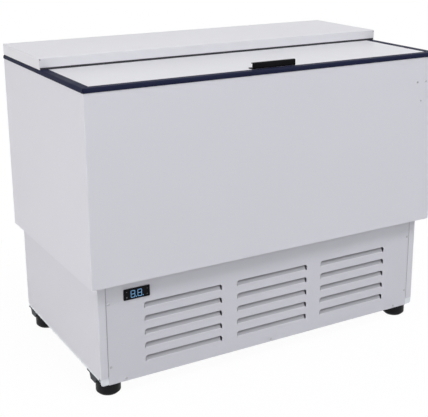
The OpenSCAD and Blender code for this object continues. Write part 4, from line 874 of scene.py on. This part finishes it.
bolt = joined("bolt", [bolt_nut, washer, bolt_shank, bolt_head])
soften(bolt, BOLT_EDGE)
bolts = copies_of(bolt, "foot_bracket_bolts", [
    ((side * (FOOT_X + BOLT_OUT), y + BOLT_BACK, 0), UP) for side in (-1, 1) for y in (FOOT_FRONT, FOOT_REAR)
])
finish(bolts, bolt_black, "cabinet", "bolt_black", "bracket_bolts")

# Levelling feet: black moulded plastic with a chamfered base, a shallow groove under the top edge and a
# dished top, moulded round a threaded stud that turns in the bracket.
FOOT_R, FOOT_H, SOLE_R, CHAMFER_Z, WALL_Z = 0.035, 0.046, 0.028, 0.0066, 0.0085
SOLE_EASE, CHAMFER_EASE, TOP_EASE = 0.0015, 0.0007, 0.0004
GROOVE_Z, GROOVE_H, GROOVE_D, GROOVE_SLOPE = 0.0385, 0.0022, 0.0006, 0.0005
DISH_R, HUB_R, DISH_D, DISH_SLOPE = 0.0265, 0.011, 0.0008, 0.001
STUD_R, STUD_THREAD, STUD_STEP, STUD_POINTS = 0.006, 0.0005, 0.00065, 24
STUD_TIP_R, STUD_TOP = 0.0045, 0.0615
foot_plastic = surface(
    "foot_plastic", (0.008, 0.008, 0.0095), 0.46, specular=0.12, tone=(16, 0.2), smudge=(12, 0.08),
    grain=(1100, 0.00003)
)
foot_outline = [
    (0, 0), (SOLE_R - SOLE_EASE, 0), (SOLE_R, SOLE_EASE * 0.4), (FOOT_R - CHAMFER_EASE, CHAMFER_Z),
    (FOOT_R, WALL_Z), (FOOT_R, GROOVE_Z), (FOOT_R - GROOVE_D, GROOVE_Z + GROOVE_SLOPE),
    (FOOT_R - GROOVE_D, GROOVE_Z + GROOVE_H - GROOVE_SLOPE), (FOOT_R, GROOVE_Z + GROOVE_H),
    (FOOT_R, FOOT_H - TOP_EASE * 3), (FOOT_R - TOP_EASE, FOOT_H - TOP_EASE),
    (FOOT_R - TOP_EASE * 2.5, FOOT_H), (DISH_R, FOOT_H), (DISH_R - DISH_SLOPE, FOOT_H - DISH_D),
    (HUB_R + DISH_SLOPE, FOOT_H - DISH_D), (HUB_R, FOOT_H),
    *((STUD_R - STUD_THREAD * (i % 2), FOOT_H + STUD_STEP * i) for i in range(STUD_POINTS)),
    (STUD_TIP_R, STUD_TOP), (0, STUD_TOP)
]
for name, x, y in (
    ("foot_front_left", -FOOT_X, FOOT_FRONT), ("foot_front_right", FOOT_X, FOOT_FRONT),
    ("foot_rear_left", -FOOT_X, FOOT_REAR), ("foot_rear_right", FOOT_X, FOOT_REAR),
):
    foot = spun(name + "_moulding", foot_outline, steps=56)
    shade(foot, angle=38)
    foot.location = (x, y, 0)
    settle(foot)
    finish(foot, foot_plastic, name, "foot_plastic", name)

# Thermostat: a controller that is clipped into the front panel. Its black moulded bezel frames a glossy
# display window, with openings for two keys at each side.
BEZEL_X, BEZEL_Z, BEZEL_W, BEZEL_H, BEZEL_T = -0.43475, 0.29425, 0.0775, 0.0315, 0.003
BEZEL_Y, BEZEL_CORNER_R, BEZEL_EDGE_R = BASE_Y0 - BEZEL_T, 0.0016, 0.0007
WINDOW_W, WINDOW_H, WINDOW_BACK, WINDOW_EDGE = 0.041, 0.023, 0.0004, 0.0002
KEY_DX, KEY_DZ, KEY_W, KEY_H, KEY_GAP = 0.03025, 0.007875, 0.007, 0.0036, 0.0002
bezel_plastic = surface(
    "bezel_plastic", (0.004, 0.004, 0.0055), 0.38, specular=0.08, tone=(30, 0.15), smudge=(40, 0.06),
    grain=(2400, 0.00001)
)
display_gloss = surface(
    "display_gloss", (0.003, 0.004, 0.007), 0.2, specular=0.1, tone=(30, 0.2), smudge=(50, 0.04),
    grain=(500, 0.000002)
)


def upright_block(name, x, z, width, tall, y0, y1):
    """A block centred at x and z, from y0 to y1."""
    return block(name, (x - width / 2, y0, z - tall / 2), (x + width / 2, y1, z + tall / 2))


bezel = upright_block("thermostat_front_bezel", BEZEL_X, BEZEL_Z, BEZEL_W, BEZEL_H, BEZEL_Y, BASE_Y0)
round_edges(bezel, edge_at(along="y"), BEZEL_CORNER_R, segments=4)
round_edges(bezel, edge_at(y=BEZEL_Y), BEZEL_EDGE_R, segments=3)
through = (BEZEL_Y - CUT_PAST, BASE_Y0 + CUT_PAST)
cut_away(bezel, upright_block("opening", BEZEL_X, BEZEL_Z, WINDOW_W, WINDOW_H, *through))
key_places = [(side, level) for side in (-1, 1) for level in (-1, 1)]
for side, level in key_places:
    cut_away(bezel, upright_block(
        "key_opening", BEZEL_X + side * KEY_DX, BEZEL_Z + level * KEY_DZ, KEY_W + 2 * KEY_GAP,
        KEY_H + 2 * KEY_GAP, *through
    ))
shade(bezel)
finish(bezel, bezel_plastic, "cabinet", "bezel_plastic", "thermostat_bezel")
window = upright_block(
    "thermostat_display_window", BEZEL_X, BEZEL_Z, WINDOW_W, WINDOW_H, BEZEL_Y + WINDOW_BACK, BASE_Y0
)
soften(window, WINDOW_EDGE)
finish(window, display_gloss, "cabinet", "display_plastic", "display_window")

# Display digits: two figures of seven segments, each with its point, lit blue from behind.
# Each segment is a thin bar with pointed ends on the window's face.
DIGIT_W, DIGIT_H, BAR, BAR_T = 0.0128, 0.0203, 0.00145, 0.00015
BAR_END, BAR_GAP = BAR * 0.48, BAR * 0.2
FIGURE_PLACES, FIGURE_DOWN = (-0.0118, 0.0084), 0.0005
POINT, POINT_OUT, POINT_UP = 0.0027, 0.0034, 0.0004
LIT_COLOUR, LIT_STRENGTH = (0.15, 0.33, 0.56, 1), 0.7
lit = surface(
    "display_light", (0.1, 0.24, 0.42), 0.4, tone=(400, 0.15), smudge=(100, 0.05), grain=(900, 0.000005)
)
lit_shader = lit.node_tree.nodes["Principled BSDF"]
lit_shader.inputs["Emission Color"].default_value = LIT_COLOUR
lit_shader.inputs["Emission Strength"].default_value = LIT_STRENGTH


def segment(x, z, length, upright=False, thick=BAR):
    face_y = BEZEL_Y + WINDOW_BACK
    bar = upright_block("segment", 0, 0, length, thick, face_y - BAR_T, face_y)
    round_edges(bar, edge_at(along="y"), BAR_END, segments=1)
    if upright:
        bar.rotation_euler = (0, math.pi / 2, 0)
    bar.location = (x, 0, z)
    settle(bar)
    return bar


segments = []
dx, dz = (DIGIT_W - BAR) / 2, (DIGIT_H - BAR) / 2
for figure in FIGURE_PLACES:
    x, z = BEZEL_X + figure, BEZEL_Z - FIGURE_DOWN
    for level in (-1, 0, 1):
        segments.append(segment(x, z + level * dz, 2 * dx - BAR_GAP))
    for side in (-1, 1):
        for level in (-1, 1):
            segments.append(segment(x + side * dx, z + level * dz / 2, dz - BAR_GAP, upright=True))
    segments.append(segment(x + DIGIT_W / 2 + POINT_OUT, z - dz + POINT_UP, POINT, thick=POINT))
digits = joined("thermostat_display_digits", segments)
finish(digits, lit, "cabinet", "display_plastic")

# Keys: soft black rubber caps in the bezel's openings, each pressed on its own. A pale mark is printed on
# each: a triangle up or down on the upper two, a dot and a small diamond on the lower two.
KEY_PROUD, KEY_BACK, KEY_R, KEY_EDGE = 0.0004, 0.0008, 0.0008, 0.00025
MARK_SUNK, MARK_PROUD, MARK_EDGE = 0.00005, 0.00004, 0.00003
DOT, DIAMOND = (24, 0.0015, 0), (4, 0.0012, 0)
TRIANGLE_UP, TRIANGLE_DOWN = (3, 0.0014, 0), (3, 0.0012, math.pi)
key_rubber = surface(
    "key_rubber", (0.008, 0.008, 0.01), 0.6, specular=0.1, tone=(60, 0.15), smudge=(60, 0.08),
    grain=(2600, 0.00002)
)
mark_paint = surface(
    "mark_paint", (0.24, 0.25, 0.27), 0.6, tone=(200, 0.1), smudge=(80, 0.05), grain=(2600, 0.00001)
)
for (side, level), (corners, radius, turn) in zip(key_places, (DOT, TRIANGLE_UP, DIAMOND, TRIANGLE_DOWN)):
    name = "key_%s_%s" % ("upper" if level > 0 else "lower", "left" if side < 0 else "right")
    x, z = BEZEL_X + side * KEY_DX, BEZEL_Z + level * KEY_DZ
    top = BEZEL_Y - KEY_PROUD
    key = upright_block(name + "_cap", x, z, KEY_W, KEY_H, top, BASE_Y0 - KEY_BACK)
    round_edges(key, edge_at(along="y"), KEY_R, segments=3)
    soften(key, KEY_EDGE)
    key.data.materials.append(key_rubber)
    mark = rod("mark", radius, -MARK_SUNK, MARK_PROUD, corners)
    mark.rotation_euler = (math.pi / 2, turn, 0)
    mark.location = (x, top, z)
    settle(mark)
    soften(mark, MARK_EDGE, segments=1)
    mark.data.materials.append(mark_paint)
    key = joined(name + "_cap", [key, mark])
    finish(key, None, name, "key_rubber", name)

# Cooling unit and what else is behind the panels: the painted compressor on rubber grommets, the condenser
# with its galvanised shroud and fan, copper tubes and drier, and the tray and the controller's case in dark
# plastic. The solids have their true shapes, so they stay.
dark_plastic = surface(
    "dark_plastic", (0.025, 0.025, 0.028), 0.55, tone=(20, 0.2), smudge=(16, 0.08), grain=(1100, 0.00003)
)
shell_paint = surface(
    "compressor_paint", (0.012, 0.012, 0.013), 0.28, coat=0.3, tone=(10, 0.2), smudge=(12, 0.1),
    grain=(500, 0.00003)
)
copper = surface(
    "copper", (0.66, 0.3, 0.17), 0.34, metallic=1.0, tone=(35, 0.2), smudge=(30, 0.14), grain=(600, 0.00002)
)
dress(shell_paint, "compressor")
dress(seal_rubber, "compressor_grommets")
dress(fin_metal, "condenser_coil")
dress(galvanised, "condenser_shroud")
dress(fan_metal, "condenser_fan_blade")
dress(motor_paint, "condenser_fan_motor")
dress(copper, "filter_drier", "refrigerant_tubes")
dress(dark_plastic, "thermostat_case", "condensate_tray", "compressor_terminal_cover")

# Cable gland: a black moulded nut and a domed cap, clamped in the rear panel's recess.
# The bore that the cable enters through is open.
GLAND_PLACE = (0.42, 0.2978, 0.11)
GLAND_NUT_R, GLAND_NUT_T, GLAND_NUT_EDGE, GLAND_NUT_BORE = 0.015, 0.005, 0.0005, 0.0105
GLAND_R, GLAND_BORE, GLAND_IN, GLAND_OUT, GLAND_EASE = 0.011, 0.005, 0.01, 0.014, 0.0004
CAP_CURVE = ((0, 0.0048), (0.0006, 0.0034), (0.0022, 0.0016), (0.0044, 0.0003), (0.0054, 0))
nut = rod("gland_nut", GLAND_NUT_R, SHEET, SHEET + GLAND_NUT_T, sides=6)
cut_away(nut, rod("gland_nut_bore", GLAND_NUT_BORE, -GLAND_IN, 2 * GLAND_IN, sides=40))
soften(nut, GLAND_NUT_EDGE)
cap = spun("gland_cap", [
    (GLAND_BORE, -GLAND_IN), (GLAND_R - GLAND_EASE, -GLAND_IN), (GLAND_R, GLAND_EASE - GLAND_IN),
    *((GLAND_R - inward, GLAND_OUT - down) for inward, down in CAP_CURVE),
    (GLAND_BORE, GLAND_OUT - GLAND_EASE), (GLAND_BORE, -GLAND_IN)
], steps=40)
shade(cap, angle=38)
gland = joined("cable_gland_assembly", [cap, nut])
gland.rotation_euler = (-math.pi / 2, 0, 0)
gland.location = GLAND_PLACE
settle(gland)
finish(gland, dark_plastic, "cabinet", "dark_plastic", "power_gland")
